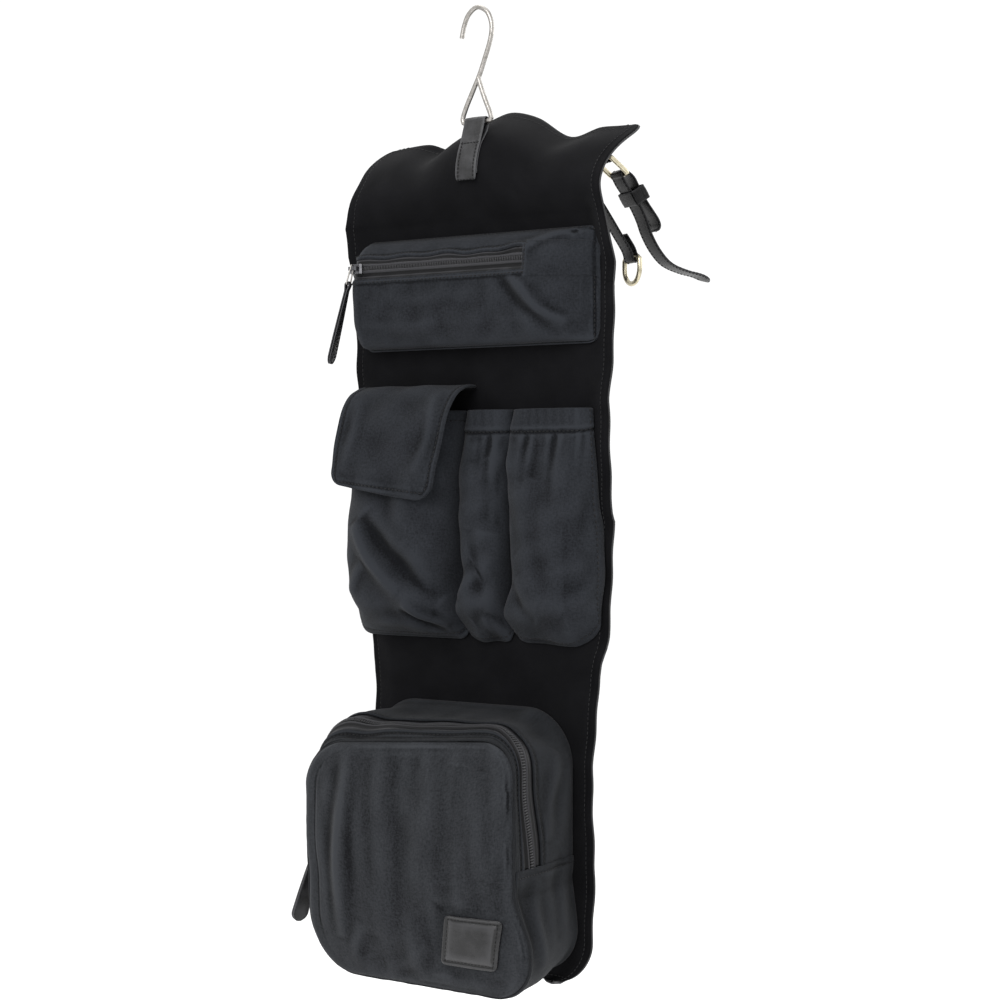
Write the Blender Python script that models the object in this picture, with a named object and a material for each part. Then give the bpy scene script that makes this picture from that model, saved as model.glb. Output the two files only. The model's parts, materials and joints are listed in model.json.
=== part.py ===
"""Hanging toiletry bag, opened out and hanging from its hook.

Metres, +Z up, +X to the right and +Y away from the viewer, so the pockets face -Y.
The origin is where the hook rests on a rail: the top of the inside of its bend.
The bag is a long panel of leather with a lining. It folds at three lines, so it is built as four
stiff sections: flap, upper, middle and lower. The pockets are sewn to the front of the lining.
"""

import math

import bmesh
import bpy
from mathutils import Vector

GAP = 0.0003

# Panel
PANEL_FRONT = 0.004
LINING_THICK = 0.0008
SHELL_THICK = 0.0016
SHELL_FRONT = PANEL_FRONT + LINING_THICK + GAP
FLAP_FOLD_Z = -0.1605
UPPER_FOLD_Z = -0.272
LOWER_FOLD_Z = -0.497
PANEL_BOTTOM_Z = -0.738
FOLD_SLIT = 0.0008
TOP_HALF = 0.1215
# half width at each height, narrowing towards the bottom
PANEL_WIDTHS = ((-0.275, TOP_HALF), (-0.486, 0.1110), (-0.508, 0.1065), (-0.575, 0.1030))
BOTTOM_CORNER = 0.030

# Flap: half width 1 at the side edges, height 0 at the fold and 1 at the scalloped top edge
FLAP_CENTRE_Y = (PANEL_FRONT, -0.0100, -0.0105, 0.0030, 0.0470)
FLAP_SIDE_Y = (PANEL_FRONT, -0.0090, 0.0000, 0.0160, 0.0400)
FLAP_EDGE_Z = (-0.0705, -0.0790, -0.0970, -0.0915, -0.0930)
FLAP_WAIST = 0.007
FLAP_HORN = 0.006
FLAP_CORNER = 0.013

# Wire hook, in the plane y = 0
WIRE_RADIUS = 0.0019
BAR_Z = -0.086
HOOK_PATH = (
    (-0.0142, 0, -0.0206), (-0.0118, 0, -0.0109), (-0.0076, 0, -0.0028), (0.0002, 0, WIRE_RADIUS),
    (0.0083, 0, -0.0016), (0.0124, 0, -0.0079), (0.0139, 0, -0.0157), (0.0121, 0, -0.0256),
    (0.0073, 0, -0.0383), (0.0025, 0, -0.0501), (-0.0031, 0, -0.0609), (-0.0093, 0, -0.0726),
    (-0.0129, 0, -0.0812), (-0.0128, 0, -0.0848), (-0.0100, 0, BAR_Z), (0.0100, 0, BAR_Z),
    (0.0128, 0, -0.0848), (0.0128, -0.0003, -0.0812), (0.0080, -0.0025, -0.0668),
    (0.0040, -0.0042, -0.0530),
)

# Hanging strap: doubled leather round the hook's bar
STRAP_WIDTH = 0.0190
STRAP_THICK = 0.0014

# Fabric
CANVAS = 0.0010
SEAM_LIFT = LINING_THICK + 0.0010

# Top pocket
TOP_POCKET_HALF = 0.1094
TOP_POCKET_Z = (-0.172, -0.259)
TOP_POCKET_DEPTH = 0.0245
TOP_ZIP_END_X = 0.056
TOP_BANDS = {"upper": (0.0, 0.235), "tape_a": (0.245, 0.315), "coil": (0.325, 0.365),
             "tape_b": (0.375, 0.445), "lower": (0.455, 1.0)}

# Middle pockets: left and right seams on the lining, and depths from the mouth to the bottom seam
POCKET_TOP_Z = -0.308
POCKET_BOTTOM_Z = -0.484
FLAP_POCKET_X = (-0.1095, -0.0090)
FLAP_POCKET_DEPTHS = (0.026, 0.0345, 0.0385, 0.040, 0.038, 0.031, 0.0)
FLAP_POCKET_FULLNESS = 3.6
SMALL_POCKET_X = (-0.0070, 0.0330)
LARGE_POCKET_X = (0.0350, 0.1075)
ELASTIC_DEPTHS = (0.72, 0.86, 0.98, 1.02, 1.0, 0.85, 0.0)
HEM_HEIGHT = 0.017

# Pocket flap, in the plane of y and z
POCKET_FLAP_X = (-0.1060, -0.0025)
POCKET_FLAP_PATH = (
    (0.0015, -0.2880), (-0.0060, -0.2876), (-0.0150, -0.2895), (-0.0230, -0.2940), (-0.0300, -0.3030),
    (-0.0360, -0.3160), (-0.0405, -0.3340), (-0.0435, -0.3520), (-0.0450, -0.3700),
)
POCKET_FLAP_THICK = 0.0018

# Zip pouch
POUCH_DEPTH = 0.082
POUCH_REAR = {"half": 0.0935, "centre": -0.003, "top": -0.5330, "bottom": -0.7310, "round": 0.038, "foot": 0.038}
POUCH_FRONT = {"half": 0.1035, "centre": 0.0, "top": -0.5480, "bottom": -0.7340, "round": 0.028, "foot": 0.040}
POUCH_SEAM_Z = -0.642
POUCH_BANDS = {"rear": (0.0, 0.60), "tape_a": (0.607, 0.712), "coil": (0.719, 0.769),
               "tape_b": (0.776, 0.870), "front": (0.877, 1.0)}
PIPING_RADIUS = 0.0017
POUCH_LEAN = 0.0140
FRONT_DOME = 0.007
PATCH_CENTRE = (0.0595, -0.696)
PATCH_SIZE = (0.048, 0.038)

# Closing straps on the back of the flap, one at each side, turned outwards.
# Their points are (distance out from CLOSURE_FOOT, height).
CLOSURE_FOOT = (0.100, 0.010)
CLOSURE_TURN = math.radians(30)
FRAME_BARS = ((0.0065, -0.1210), (0.0215, -0.1325))
STRAP_LEAD = ((0.0470, -0.1735), (0.0505, -0.1728), (0.0520, -0.1695), (0.0505, -0.1650), (0.0460, -0.1590),
              (0.0405, -0.1520), (0.0345, -0.1430), (0.0295, -0.1345))
STRAP_TAIL = ((0.0225, -0.1395), (0.0280, -0.1465), (0.0345, -0.1550), (0.0400, -0.1650), (0.0445, -0.1760),
              (0.0520, -0.1880), (0.0620, -0.1975), (0.0760, -0.2025), (0.0890, -0.2050), (0.0990, -0.2090))
RING_BAR = (0.0320, -0.1945)
RING_TAB = ((-0.0060, -0.1490), (0.0020, -0.1535), (0.0100, -0.1640), (0.0190, -0.1770), (0.0272, -0.1890))
RING_WIRE = 0.0017

LOOKS = {
    "steel": ((0.62, 0.61, 0.58, 1), 0.35, 1.0),
    "brass": ((0.72, 0.66, 0.48, 1), 0.30, 1.0),
    "leather": ((0.012, 0.012, 0.013, 1), 0.45, 0.0),
    "lining": ((0.006, 0.006, 0.007, 1), 0.95, 0.0),
    "canvas": ((0.021, 0.024, 0.028, 1), 0.85, 0.0),
    "zip": ((0.010, 0.010, 0.011, 1), 0.40, 0.0),
    "elastic": ((0.016, 0.017, 0.019, 1), 0.80, 0.0),
}


# ---------------------------------------------------------------- helpers

def material(name):
    """The Principled material of that name, made on first use."""
    found = bpy.data.materials.get(name)
    if found:
        return found
    colour, roughness, metallic = LOOKS[name]
    made = bpy.data.materials.new(name)
    made.use_nodes = True
    shader = made.node_tree.nodes["Principled BSDF"]
    shader.inputs["Base Color"].default_value = colour
    shader.inputs["Roughness"].default_value = roughness
    shader.inputs["Metallic"].default_value = metallic
    return made


def place(name, data, look, parent=None):
    """Links a new object with this data and look, and keeps its place in the world under its parent."""
    made = bpy.data.objects.new(name, data)
    bpy.context.scene.collection.objects.link(made)
    data.materials.append(material(look))
    if parent:
        made.parent = parent
        made.location = -Vector(parent.location)
    return made


def pivot(name, location):
    """An empty on a joint's axis."""
    made = bpy.data.objects.new(name, None)
    made.location = location
    bpy.context.scene.collection.objects.link(made)
    return made


def mesh_from_grid(name, rows, closed=False):
    """A mesh of quads through rows of points; closed joins the last row to the first."""
    shape = bmesh.new()
    made = [[shape.verts.new(point) for point in row] for row in rows]
    pairs = list(zip(made, made[1:])) + ([(made[-1], made[0])] if closed else [])
    for low, high in pairs:
        for i in range(len(low) - 1):
            shape.faces.new((low[i], low[i + 1], high[i + 1], high[i]))
    mesh = bpy.data.meshes.new(name)
    shape.to_mesh(mesh)
    shape.free()
    mesh.shade_smooth()
    return mesh


def thicken(made, thickness, side=-1):
    """Gives a sheet its thickness behind its faces (side -1), in front (1) or both ways (0)."""
    solid = made.modifiers.new("thickness", "SOLIDIFY")
    solid.thickness = thickness
    solid.offset = side
    solid.use_even_offset = True
    return made


def sheet(name, rows, thickness, look, parent=None, closed=False, side=-1):
    return thicken(place(name, mesh_from_grid(name, rows, closed), look, parent), thickness, side)


def smooth_value(knots, t):
    """A smooth curve through evenly spaced values, for t from 0 to 1."""
    last = len(knots) - 1
    at = min(max(t, 0.0), 1.0) * last
    i = min(int(at), last - 1)
    f = at - i
    a, b = knots[i], knots[i + 1]
    before = knots[i - 1] if i > 0 else 2 * a - b
    after = knots[i + 2] if i + 2 <= last else 2 * b - a
    into, out = (b - before) / 2, (after - a) / 2
    return (a * (2 * f**3 - 3 * f**2 + 1) + into * (f**3 - 2 * f**2 + f)
            + b * (3 * f**2 - 2 * f**3) + out * (f**3 - f**2))


def smooth_path(points, steps):
    """Points along a smooth curve through the given ones, with so many steps between each two."""
    count = (len(points) - 1) * steps
    columns = list(zip(*points))
    return [Vector([smooth_value(column, i / count) for column in columns]) for i in range(count + 1)]


def spread(low, high, count):
    return [low + (high - low) * i / (count - 1) for i in range(count)]


def tube(name, points, radius, look, parent=None, cyclic=False, sides=2):
    """A round wire or piping along the points, as a bevelled curve with filled ends."""
    curve = bpy.data.curves.new(name, "CURVE")
    curve.dimensions = "3D"
    curve.bevel_depth = radius
    curve.bevel_resolution = sides
    curve.use_fill_caps = True
    line = curve.splines.new("POLY")
    line.points.add(len(points) - 1)
    for point, at in zip(line.points, points):
        point.co = (*at, 1)
    line.use_cyclic_u = cyclic
    return place(name, curve, look, parent)


def ribbon(name, path, width, thickness, look, parent=None, across=Vector((1, 0, 0)), closed=False):
    """A flat strap along a path. width is a length, or gives one from the distances walked and left."""
    length = sum((b - a).length for a, b in zip(path, path[1:]))
    rows = []
    walked = 0.0
    for i, point in enumerate(path):
        walked += (point - path[i - 1]).length if i else 0.0
        wide = width(walked, length - walked) if callable(width) else width
        rows.append([point - across * wide / 2, point + across * wide / 2])
    return sheet(name, rows, thickness, look, parent, closed, side=0)


def rounded_end(width):
    """A width for ribbon that rounds off the far end."""
    def wide(walked, left):
        return width * max(0.3, math.sqrt(1 - max(0.0, 1 - 2 * left / width) ** 2))
    return wide


def plate(name, outline, front, thickness, look, parent=None):
    """A flat sheet with this outline of (x, z), its front face at y = front."""
    shape = bmesh.new()
    face = shape.faces.new([shape.verts.new((x, front, z)) for x, z in outline])
    if face.normal.y > 0:
        face.normal_flip()
    face.normal_update()
    bmesh.ops.recalc_face_normals(shape, faces=shape.faces)
    back = bmesh.ops.extrude_face_region(shape, geom=[face])
    moved = [item for item in back["geom"] if isinstance(item, bmesh.types.BMVert)]
    bmesh.ops.translate(shape, vec=(0, thickness, 0), verts=moved)
    bmesh.ops.recalc_face_normals(shape, faces=shape.faces)
    mesh = bpy.data.meshes.new(name)
    shape.to_mesh(mesh)
    shape.free()
    return place(name, mesh, look, parent)


# ---------------------------------------------------------------- hook and panel

def hook():
    """One bent wire: the hook, its stem and the triangle that carries the strap."""
    tube("hanger_hook", smooth_path(HOOK_PATH, 3), WIRE_RADIUS, "steel", sides=2)


def panel_half_width(z):
    if z >= PANEL_WIDTHS[0][0]:
        return TOP_HALF
    for (high, wide), (low, narrow) in zip(PANEL_WIDTHS, PANEL_WIDTHS[1:]):
        if z >= low:
            return narrow + (wide - narrow) * (z - low) / (high - low)
    return PANEL_WIDTHS[-1][1]


def section_outline(top, bottom, corner=0.0):
    """Outline of a panel section between two heights, with rounded lower corners if asked."""
    levels = [top] + [z for z, _ in PANEL_WIDTHS if bottom < z < top]
    right = [(panel_half_width(z), z) for z in levels]
    if corner:
        half = panel_half_width(bottom)
        steps = 6
        for i in range(steps + 1):
            turn = math.pi / 2 * i / steps
            right.append((half - corner + corner * math.cos(turn), bottom + corner - corner * math.sin(turn)))
    else:
        right.append((panel_half_width(bottom), bottom))
    return right + [(-x, z) for x, z in reversed(right)]


def flap_point(u, t):
    """The front of the flap's lining at u across (-1 to 1) and t up (0 to 1)."""
    edge = smooth_value(FLAP_EDGE_Z, abs(u))
    centre, side = smooth_value(FLAP_CENTRE_Y, t), smooth_value(FLAP_SIDE_Y, t)
    half = TOP_HALF - FLAP_WAIST * math.sin(math.pi * t) + FLAP_HORN * t**4
    start = 1 - FLAP_CORNER / (FLAP_EDGE_Z[-1] - FLAP_FOLD_Z)
    if t > start:
        half -= FLAP_CORNER * (1 - math.sqrt(max(0.0, 1 - ((t - start) / (1 - start)) ** 2)))
    low = FLAP_FOLD_Z + FOLD_SLIT
    return Vector((u * half, centre + (side - centre) * abs(u) ** 1.5, low + (edge - low) * t))


def flap_normal(u, t):
    """Unit vector out of the front of the flap."""
    step = 0.01
    across = flap_point(min(u + step, 1), t) - flap_point(max(u - step, -1), t)
    up = flap_point(u, min(t + step, 1)) - flap_point(u, max(t - step, 0))
    return across.cross(up).normalized()


def flap_rows(lift, across=15, up=11):
    """Rows of points over the flap, moved out of its front by lift."""
    levels = [1 - (1 - i / (up - 1)) ** 1.35 for i in range(up)]
    return [[flap_point(u, t) + flap_normal(u, t) * lift for u in spread(-1, 1, across)] for t in levels]


def panel():
    sheet("flap_lining", flap_rows(0), LINING_THICK, "lining")
    sheet("flap_shell", flap_rows(-(LINING_THICK + GAP)), SHELL_THICK, "leather")
    sections = {
        "upper": (FLAP_FOLD_Z, UPPER_FOLD_Z, 0.0),
        "middle": (UPPER_FOLD_Z, LOWER_FOLD_Z, 0.0),
        "lower": (LOWER_FOLD_Z, PANEL_BOTTOM_Z - FOLD_SLIT, BOTTOM_CORNER),
    }
    for name, (top, bottom, corner) in sections.items():
        outline = section_outline(top - FOLD_SLIT, bottom + FOLD_SLIT, corner)
        plate(f"{name}_lining", outline, PANEL_FRONT, LINING_THICK, "lining")
        plate(f"{name}_shell", outline, SHELL_FRONT, SHELL_THICK, "leather")


def hanging_strap():
    """Goes up the front of the flap, over the hook's bar and down again under itself."""
    turn = WIRE_RADIUS + 0.0006 + STRAP_THICK / 2
    under = 3 * GAP + STRAP_THICK / 2
    over = under + STRAP_THICK + GAP
    bottom, top = 0.33, 0.63
    front = [flap_point(0, t) + flap_normal(0, t) * over for t in spread(bottom, top, 5)]
    back = [flap_point(0, t) + flap_normal(0, t) * under for t in spread(top, bottom + 0.05, 5)]
    bend = []
    for i in range(9):
        angle = math.radians(200 - 200 * i / 8 - 10)
        bend.append(Vector((0, turn * math.cos(angle), BAR_Z + turn * math.sin(angle))))
    back_rise = [Vector((0, 0.0006, -0.0935))]
    path = front + bend + back_rise + back
    ribbon("hanging_strap", path, STRAP_WIDTH, STRAP_THICK, "leather")


# ---------------------------------------------------------------- top pocket

def top_pocket_depth(x):
    """How far the pocket stands out: steep at the left end, flat to the zip's end, then sloping off."""
    rise = min(max((x + TOP_POCKET_HALF) / 0.012, 0.0), 1.0)
    fall = min(max((TOP_POCKET_HALF - x) / (TOP_POCKET_HALF - TOP_ZIP_END_X), 0.0), 1.0)
    return TOP_POCKET_DEPTH * math.sin(math.pi / 2 * rise) ** 0.7 * math.sin(math.pi / 2 * fall) ** 0.8


def top_pocket_point(x, s):
    """Outer face of the pocket at s from its top seam (0) to its bottom seam (1)."""
    out = (0.0, 0.50, 0.86, 1.0, 1.04, 1.02, 0.94, 0.62, 0.0)
    drop = (0.0, 0.06, 0.17, 0.30, 0.45, 0.62, 0.80, 0.955, 1.0)
    top, bottom = TOP_POCKET_Z
    depth = top_pocket_depth(x) * smooth_value(out, s)
    return Vector((x, PANEL_FRONT - SEAM_LIFT - depth, top + (bottom - top) * smooth_value(drop, s)))


def top_pocket_rows(band, xs, steps):
    low, high = TOP_BANDS[band]
    return [[top_pocket_point(x, s) for x in xs] for s in spread(high, low, steps)]


def top_pocket(slider_pivot, pull_pivot):
    ends = [-1, -0.985, -0.96, -0.93, -0.89]
    whole = [TOP_POCKET_HALF * u for u in ends + spread(-0.80, 0.5, 7) + spread(0.62, 1, 6)]
    zip_xs = [x for x in whole if x < TOP_ZIP_END_X - 0.002] + [TOP_ZIP_END_X - 0.002]
    patch_xs = [TOP_ZIP_END_X] + [x for x in whole if x > TOP_ZIP_END_X + 0.002]
    sheet("top_pocket_upper", top_pocket_rows("upper", whole, 5), CANVAS, "canvas")
    sheet("top_pocket_lower", top_pocket_rows("lower", whole, 9), CANVAS, "canvas")
    for band, name in (("tape_a", "top_zip_tape_upper"), ("tape_b", "top_zip_tape_lower")):
        sheet(name, top_pocket_rows(band, zip_xs[1:], 2), 0.0008, "zip")
    sheet("top_zip_coil", top_pocket_rows("coil", zip_xs[2:], 2), 0.0016, "zip")
    low, high = TOP_BANDS["tape_a"][0], TOP_BANDS["tape_b"][1]
    rows = [[top_pocket_point(x, s) for x in patch_xs] for s in spread(high, low, 5)]
    sheet("top_zip_end_patch", rows, CANVAS, "canvas")
    zip_slider("top_zip_slider", slider_pivot.location, Vector((1, 0, 0)), Vector((0, -1, 0)), slider_pivot)
    pull("top", pull_pivot, Vector((-0.35, 0.94, 0)), Vector((-0.25, -0.04, -0.967)), 0.0025)


def prism(name, seat, axes, profile, half, look, parent):
    """A block with this profile along axes[0] and axes[1], reaching half each way along axes[2]."""
    shape = bmesh.new()
    points = [seat + axes[0] * a + axes[1] * b - axes[2] * half for a, b in profile]
    face = shape.faces.new([shape.verts.new(point) for point in points])
    grown = bmesh.ops.extrude_face_region(shape, geom=[face])
    moved = [item for item in grown["geom"] if isinstance(item, bmesh.types.BMVert)]
    bmesh.ops.translate(shape, vec=axes[2] * half * 2, verts=moved)
    bmesh.ops.recalc_face_normals(shape, faces=shape.faces)
    mesh = bpy.data.meshes.new(name)
    shape.to_mesh(mesh)
    shape.free()
    return place(name, mesh, look, parent)


def zip_slider(name, seat, along, out, parent):
    """Slider body with the narrow bridge that carries its pull."""
    axes = (along, out, along.cross(out).normalized())
    base, top, reach = 0.0013, 0.0034, 0.0058
    body = [(-reach, base), (reach, base), (reach, top - 0.0008), (0.0040, top), (-0.0040, top),
            (-reach, top - 0.0008)]
    arch = [(-0.0040, 0.0026), (-0.0040, 0.0074), (-0.0030, 0.0086), (0.0030, 0.0086), (0.0040, 0.0074),
            (0.0040, 0.0026), (0.0027, 0.0026), (0.0027, 0.0070), (-0.0027, 0.0070), (-0.0027, 0.0026)]
    made = prism(name, seat, axes, body, 0.0037, "zip", parent)
    bridge = prism(f"{name}_bridge", seat, axes, arch, 0.0014, "zip", parent)
    bridge.hide_render = True
    bridge.display_type = "WIRE"
    join = made.modifiers.new("bridge", "BOOLEAN")
    join.operation = "UNION"
    join.object = bridge
    return made


def pull(name, parent, across, down, rise=0.0):
    """Wire ring through the slider's bridge and a doubled leather tongue folded round its lower bar.

    The ring's upper bar is this far above the pivot."""
    across = (across - down * across.dot(down)).normalized()
    down = down.normalized()
    out = across.cross(down).normalized()
    top = parent.location - down * rise
    reach = 0.0115
    corners = [top - across * 0.0029, top + across * 0.0029, top + down * reach + across * 0.0050,
               top + down * reach - across * 0.0050]
    tube(f"{name}_pull_ring", rounded_loop(corners, 0.0011, 2), 0.0006, "steel", parent, cyclic=True, sides=1)
    eye, thick, apart = top + down * reach, 0.0012, 0.00078
    turn = 0.0006 + 0.0005 + thick / 2
    front = [eye + down * (0.0006 * (math.cos(a) > 0)) + out * turn * math.cos(a) - down * turn * math.sin(a)
             for a in (math.pi / 2 - math.pi / 2 * i / 3 for i in range(1, 4))]
    front += [eye + down * d + out * apart for d in (0.0055, 0.014, 0.024, 0.036, 0.046, 0.0515, 0.0545, 0.0562)]
    behind = [point - out * 2 * (point - eye).dot(out) for point in front]
    path = list(reversed(behind)) + [eye - down * turn] + front

    def wide(walked, left):
        from_end = min(walked, left)
        share = math.sqrt(1 - max(0.0, 1 - from_end / 0.0075) ** 2)
        return (0.0150 - 0.0084 * min(from_end / 0.050, 1.0) ** 1.6) * max(share, 0.35)
    ribbon(f"{name}_leather_pull", path, wide, thick, "leather", parent, across=across)


# ---------------------------------------------------------------- middle pockets

def pocket_point(x_range, z_range, depths, fullness, a, b):
    """Outer face of a pocket at a across and b down, each from 0 to 1."""
    left, right = x_range
    top, bottom = z_range
    depth = smooth_value(depths, b) * (1 - abs(2 * a - 1) ** fullness) ** 0.55
    return Vector((left + (right - left) * a, PANEL_FRONT - SEAM_LIFT - depth, top + (bottom - top) * b))


def pocket_rows(x_range, z_range, depths, fullness, columns=11, rows=10):
    """A pocket that is open at its top, from its bottom seam up."""
    shares = [0.5 - 0.5 * math.cos(math.pi * k / (columns - 1)) for k in range(columns)]
    levels = [1 - (1 - i / (rows - 1)) ** 1.25 for i in range(rows)]
    return [[pocket_point(x_range, z_range, depths, fullness, a, b) for a in shares] for b in reversed(levels)]


def middle_pockets(flap_pivot):
    whole = (POCKET_TOP_Z, POCKET_BOTTOM_Z)
    rows = pocket_rows(FLAP_POCKET_X, whole, FLAP_POCKET_DEPTHS, FLAP_POCKET_FULLNESS)
    sheet("flap_pocket_body", rows, CANVAS, "canvas")
    for name, span, depth in (("small", SMALL_POCKET_X, 0.019), ("large", LARGE_POCKET_X, 0.022)):
        below = POCKET_TOP_Z - HEM_HEIGHT
        depths = [depth * k for k in ELASTIC_DEPTHS]
        sheet(f"elastic_pocket_{name}", pocket_rows(span, (below, POCKET_BOTTOM_Z), depths, 2.6), CANVAS, "canvas")
        hem = (depth * 0.66, depth * 0.66, depth * 0.68)
        rows = pocket_rows(span, (POCKET_TOP_Z, below + 2 * GAP), hem, 2.6, rows=3)
        sheet(f"elastic_hem_{name}", rows, 0.0018, "canvas")
        middle = (span[0] + span[1]) / 2
        inner = [[Vector((p.x * 0.92 + middle * 0.08, p.y + 0.0024, p.z)) for p in row[2:-2]] for row in rows]
        sheet(f"elastic_band_{name}", inner, 0.0008, "elastic")
    pocket_flap(flap_pivot)


def pocket_flap(parent):
    """Stiff flap over the left pocket, with hook-and-loop fastening behind it."""
    path = smooth_path([(0.0, y, z) for y, z in POCKET_FLAP_PATH], 2)
    left, right = POCKET_FLAP_X
    middle, width = (left + right) / 2, right - left
    rows = []
    for i, point in enumerate(path):
        from_end = max(0, i - (len(path) - 4)) / 3
        half = width / 2 - 0.013 * (1 - math.sqrt(1 - min(from_end, 0.98) ** 2))
        rows.append([point + Vector((middle + half * k, 0, 0)) for k in spread(-1, 1, 7)])
    rows.reverse()
    sheet("pocket_flap", rows, POCKET_FLAP_THICK, "canvas", parent)
    fine = smooth_path([(0.0, y, z) for y, z in POCKET_FLAP_PATH], 8)
    rows = []
    for before, point, after in zip(fine[8:], fine[9:], fine[10:]):
        if -0.3640 < point.z < -0.3460:
            down = (after - before).normalized()
            back = Vector((0, -down.z, down.y)) * (POCKET_FLAP_THICK + GAP)
            rows.append([point + back + Vector((x, 0, 0)) for x in (middle - 0.023, middle + 0.023)])
    rows.reverse()
    sheet("flap_hook_tape", rows, 0.0009, "elastic", parent)
    whole = (POCKET_TOP_Z, POCKET_BOTTOM_Z)
    rows = []
    for b in spread(0.315, 0.205, 3):
        line = [pocket_point(FLAP_POCKET_X, whole, FLAP_POCKET_DEPTHS, FLAP_POCKET_FULLNESS, a, b)
                for a in spread(0.28, 0.72, 5)]
        rows.append([point + Vector((0, -0.0007, 0)) for point in line])
    sheet("pocket_loop_tape", rows, 0.0009, "elastic", side=1)


# ---------------------------------------------------------------- zip pouch

def blend_outline(d):
    return {key: POUCH_REAR[key] + (POUCH_FRONT[key] - POUCH_REAR[key]) * d for key in POUCH_REAR}


def corner_arc(centre_x, centre_z, radius, start, steps=6):
    return [(centre_x + radius * math.cos(start - math.pi / 2 * i / steps),
             centre_z + radius * math.sin(start - math.pi / 2 * i / steps)) for i in range(steps + 1)]


def upper_outline(d):
    """From the left seam up, over the top and down to the right seam, as (x, z)."""
    o = blend_outline(d)
    left, right = o["centre"] - o["half"], o["centre"] + o["half"]
    r = o["round"]
    side = [(left, z) for z in spread(POUCH_SEAM_Z, o["top"] - r, 3)[:-1]]
    over = corner_arc(left + r, o["top"] - r, r, math.pi) + corner_arc(right - r, o["top"] - r, r, math.pi / 2)
    down = [(right, z) for z in spread(o["top"] - r, POUCH_SEAM_Z, 3)[1:]]
    return side + over + down


def lower_outline(d):
    """From the right seam down, under the bottom and up to the left seam, as (x, z)."""
    o = blend_outline(d)
    left, right = o["centre"] - o["half"], o["centre"] + o["half"]
    r = o["foot"]
    low = POUCH_SEAM_Z - 2 * GAP
    under = corner_arc(right - r, o["bottom"] + r, r, 0) + corner_arc(left + r, o["bottom"] + r, r, -math.pi / 2)
    return [(right, low)] + under + [(left, low)]


def pouch_y(d):
    return PANEL_FRONT - LINING_THICK - GAP - POUCH_DEPTH * d


def lean(x, d, z):
    """The pouch's right side is drawn in above its foot, more towards the front."""
    up = min(max((z + 0.700) / 0.045, 0.0), 1.0)
    out = min(max(x / 0.085, 0.0), 1.0)
    return x - POUCH_LEAN * d * up * up * (3 - 2 * up) * out * out * (3 - 2 * out)


def gusset_rows(outline, low, high, steps):
    return [[Vector((lean(x, d, z), pouch_y(d), z)) for x, z in outline(d)] for d in spread(low, high, steps)]


def front_ring(inset, y):
    """The pouch's front outline, drawn in by inset, as a closed ring of points."""
    points = upper_outline(1) + lower_outline(1)
    o = POUCH_FRONT
    middle_z = (o["top"] + o["bottom"]) / 2
    half_height = (o["top"] - o["bottom"]) / 2
    k_x, k_z = 1 - inset / o["half"], 1 - inset / half_height
    drawn = [(o["centre"] + (x - o["centre"]) * k_x, middle_z + (z - middle_z) * k_z) for x, z in points]
    return [Vector((lean(x, 1, z), y, z)) for x, z in drawn]


def pouch(slider_pivot, pull_pivot):
    thick = 0.0012
    sheet("pouch_gusset_rear", gusset_rows(upper_outline, *POUCH_BANDS["rear"], 5), thick, "canvas", side=1)
    sheet("pouch_gusset_front", gusset_rows(upper_outline, *POUCH_BANDS["front"], 2), thick, "canvas", side=1)
    sheet("pouch_gusset_lower", gusset_rows(lower_outline, 0, 1, 6), thick, "canvas", side=1)
    for band, name in (("tape_a", "pouch_zip_tape_rear"), ("tape_b", "pouch_zip_tape_front")):
        sheet(name, gusset_rows(upper_outline, *POUCH_BANDS[band], 2), 0.0008, "zip", side=1)
    sheet("pouch_zip_coil", gusset_rows(upper_outline, *POUCH_BANDS["coil"], 2), 0.0016, "zip", side=1)
    rim = pouch_y(1) - PIPING_RADIUS - GAP
    tube("pouch_front_piping", front_ring(PIPING_RADIUS, rim), PIPING_RADIUS, "canvas", cyclic=True, sides=1)
    pouch_front(rim, thick)
    zip_slider("pouch_zip_slider", slider_pivot.location, Vector((0, 0, 1)), Vector((-1, 0, 0)), slider_pivot)
    pull("pouch", pull_pivot, Vector((0.30, 0.95, 0)), Vector((-0.14, 0, -0.99)))
    label(rim)


def pouch_front(rim, thick):
    """Slightly domed front, made of rings that shrink towards the middle."""
    shape = bmesh.new()
    rings = []
    for share in (1.0, 0.93, 0.78, 0.52, 0.26):
        inset = 2 * PIPING_RADIUS + GAP + (1 - share) * POUCH_FRONT["half"] * 0.9
        y = rim - FRONT_DOME * (1 - share**2)
        rings.append([shape.verts.new(point) for point in front_ring(inset, y)])
    for outer, inner in zip(rings, rings[1:]):
        for i in range(len(outer)):
            k = (i + 1) % len(outer)
            shape.faces.new((outer[i], outer[k], inner[k], inner[i]))
    shape.faces.new(rings[-1])
    bmesh.ops.recalc_face_normals(shape, faces=shape.faces)
    mesh = bpy.data.meshes.new("pouch_front")
    shape.to_mesh(mesh)
    shape.free()
    thicken(place("pouch_front", mesh, "canvas"), thick, 0)


def label(rim):
    """Plain leather patch low on the right of the pouch's front, lying along its curve."""
    o = POUCH_FRONT
    middle_z = (o["top"] + o["bottom"]) / 2
    half_height = (o["top"] - o["bottom"]) / 2
    x, z = PATCH_CENTRE
    wide, tall = PATCH_SIZE
    rows = []
    for height in spread(z - tall / 2, z + tall / 2, 3):
        row = []
        for at in spread(x - wide / 2, x + wide / 2, 3):
            inset = min(o["half"] - abs(at), half_height - abs(height - middle_z)) - 2 * PIPING_RADIUS - GAP
            share = 1 - inset / (0.9 * o["half"])
            row.append(Vector((at, rim - FRONT_DOME * (1 - share**2) - 0.0013, height)))
        rows.append(row)
    sheet("leather_patch", rows, 0.0014, "leather", side=1)


# ---------------------------------------------------------------- closing straps

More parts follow.
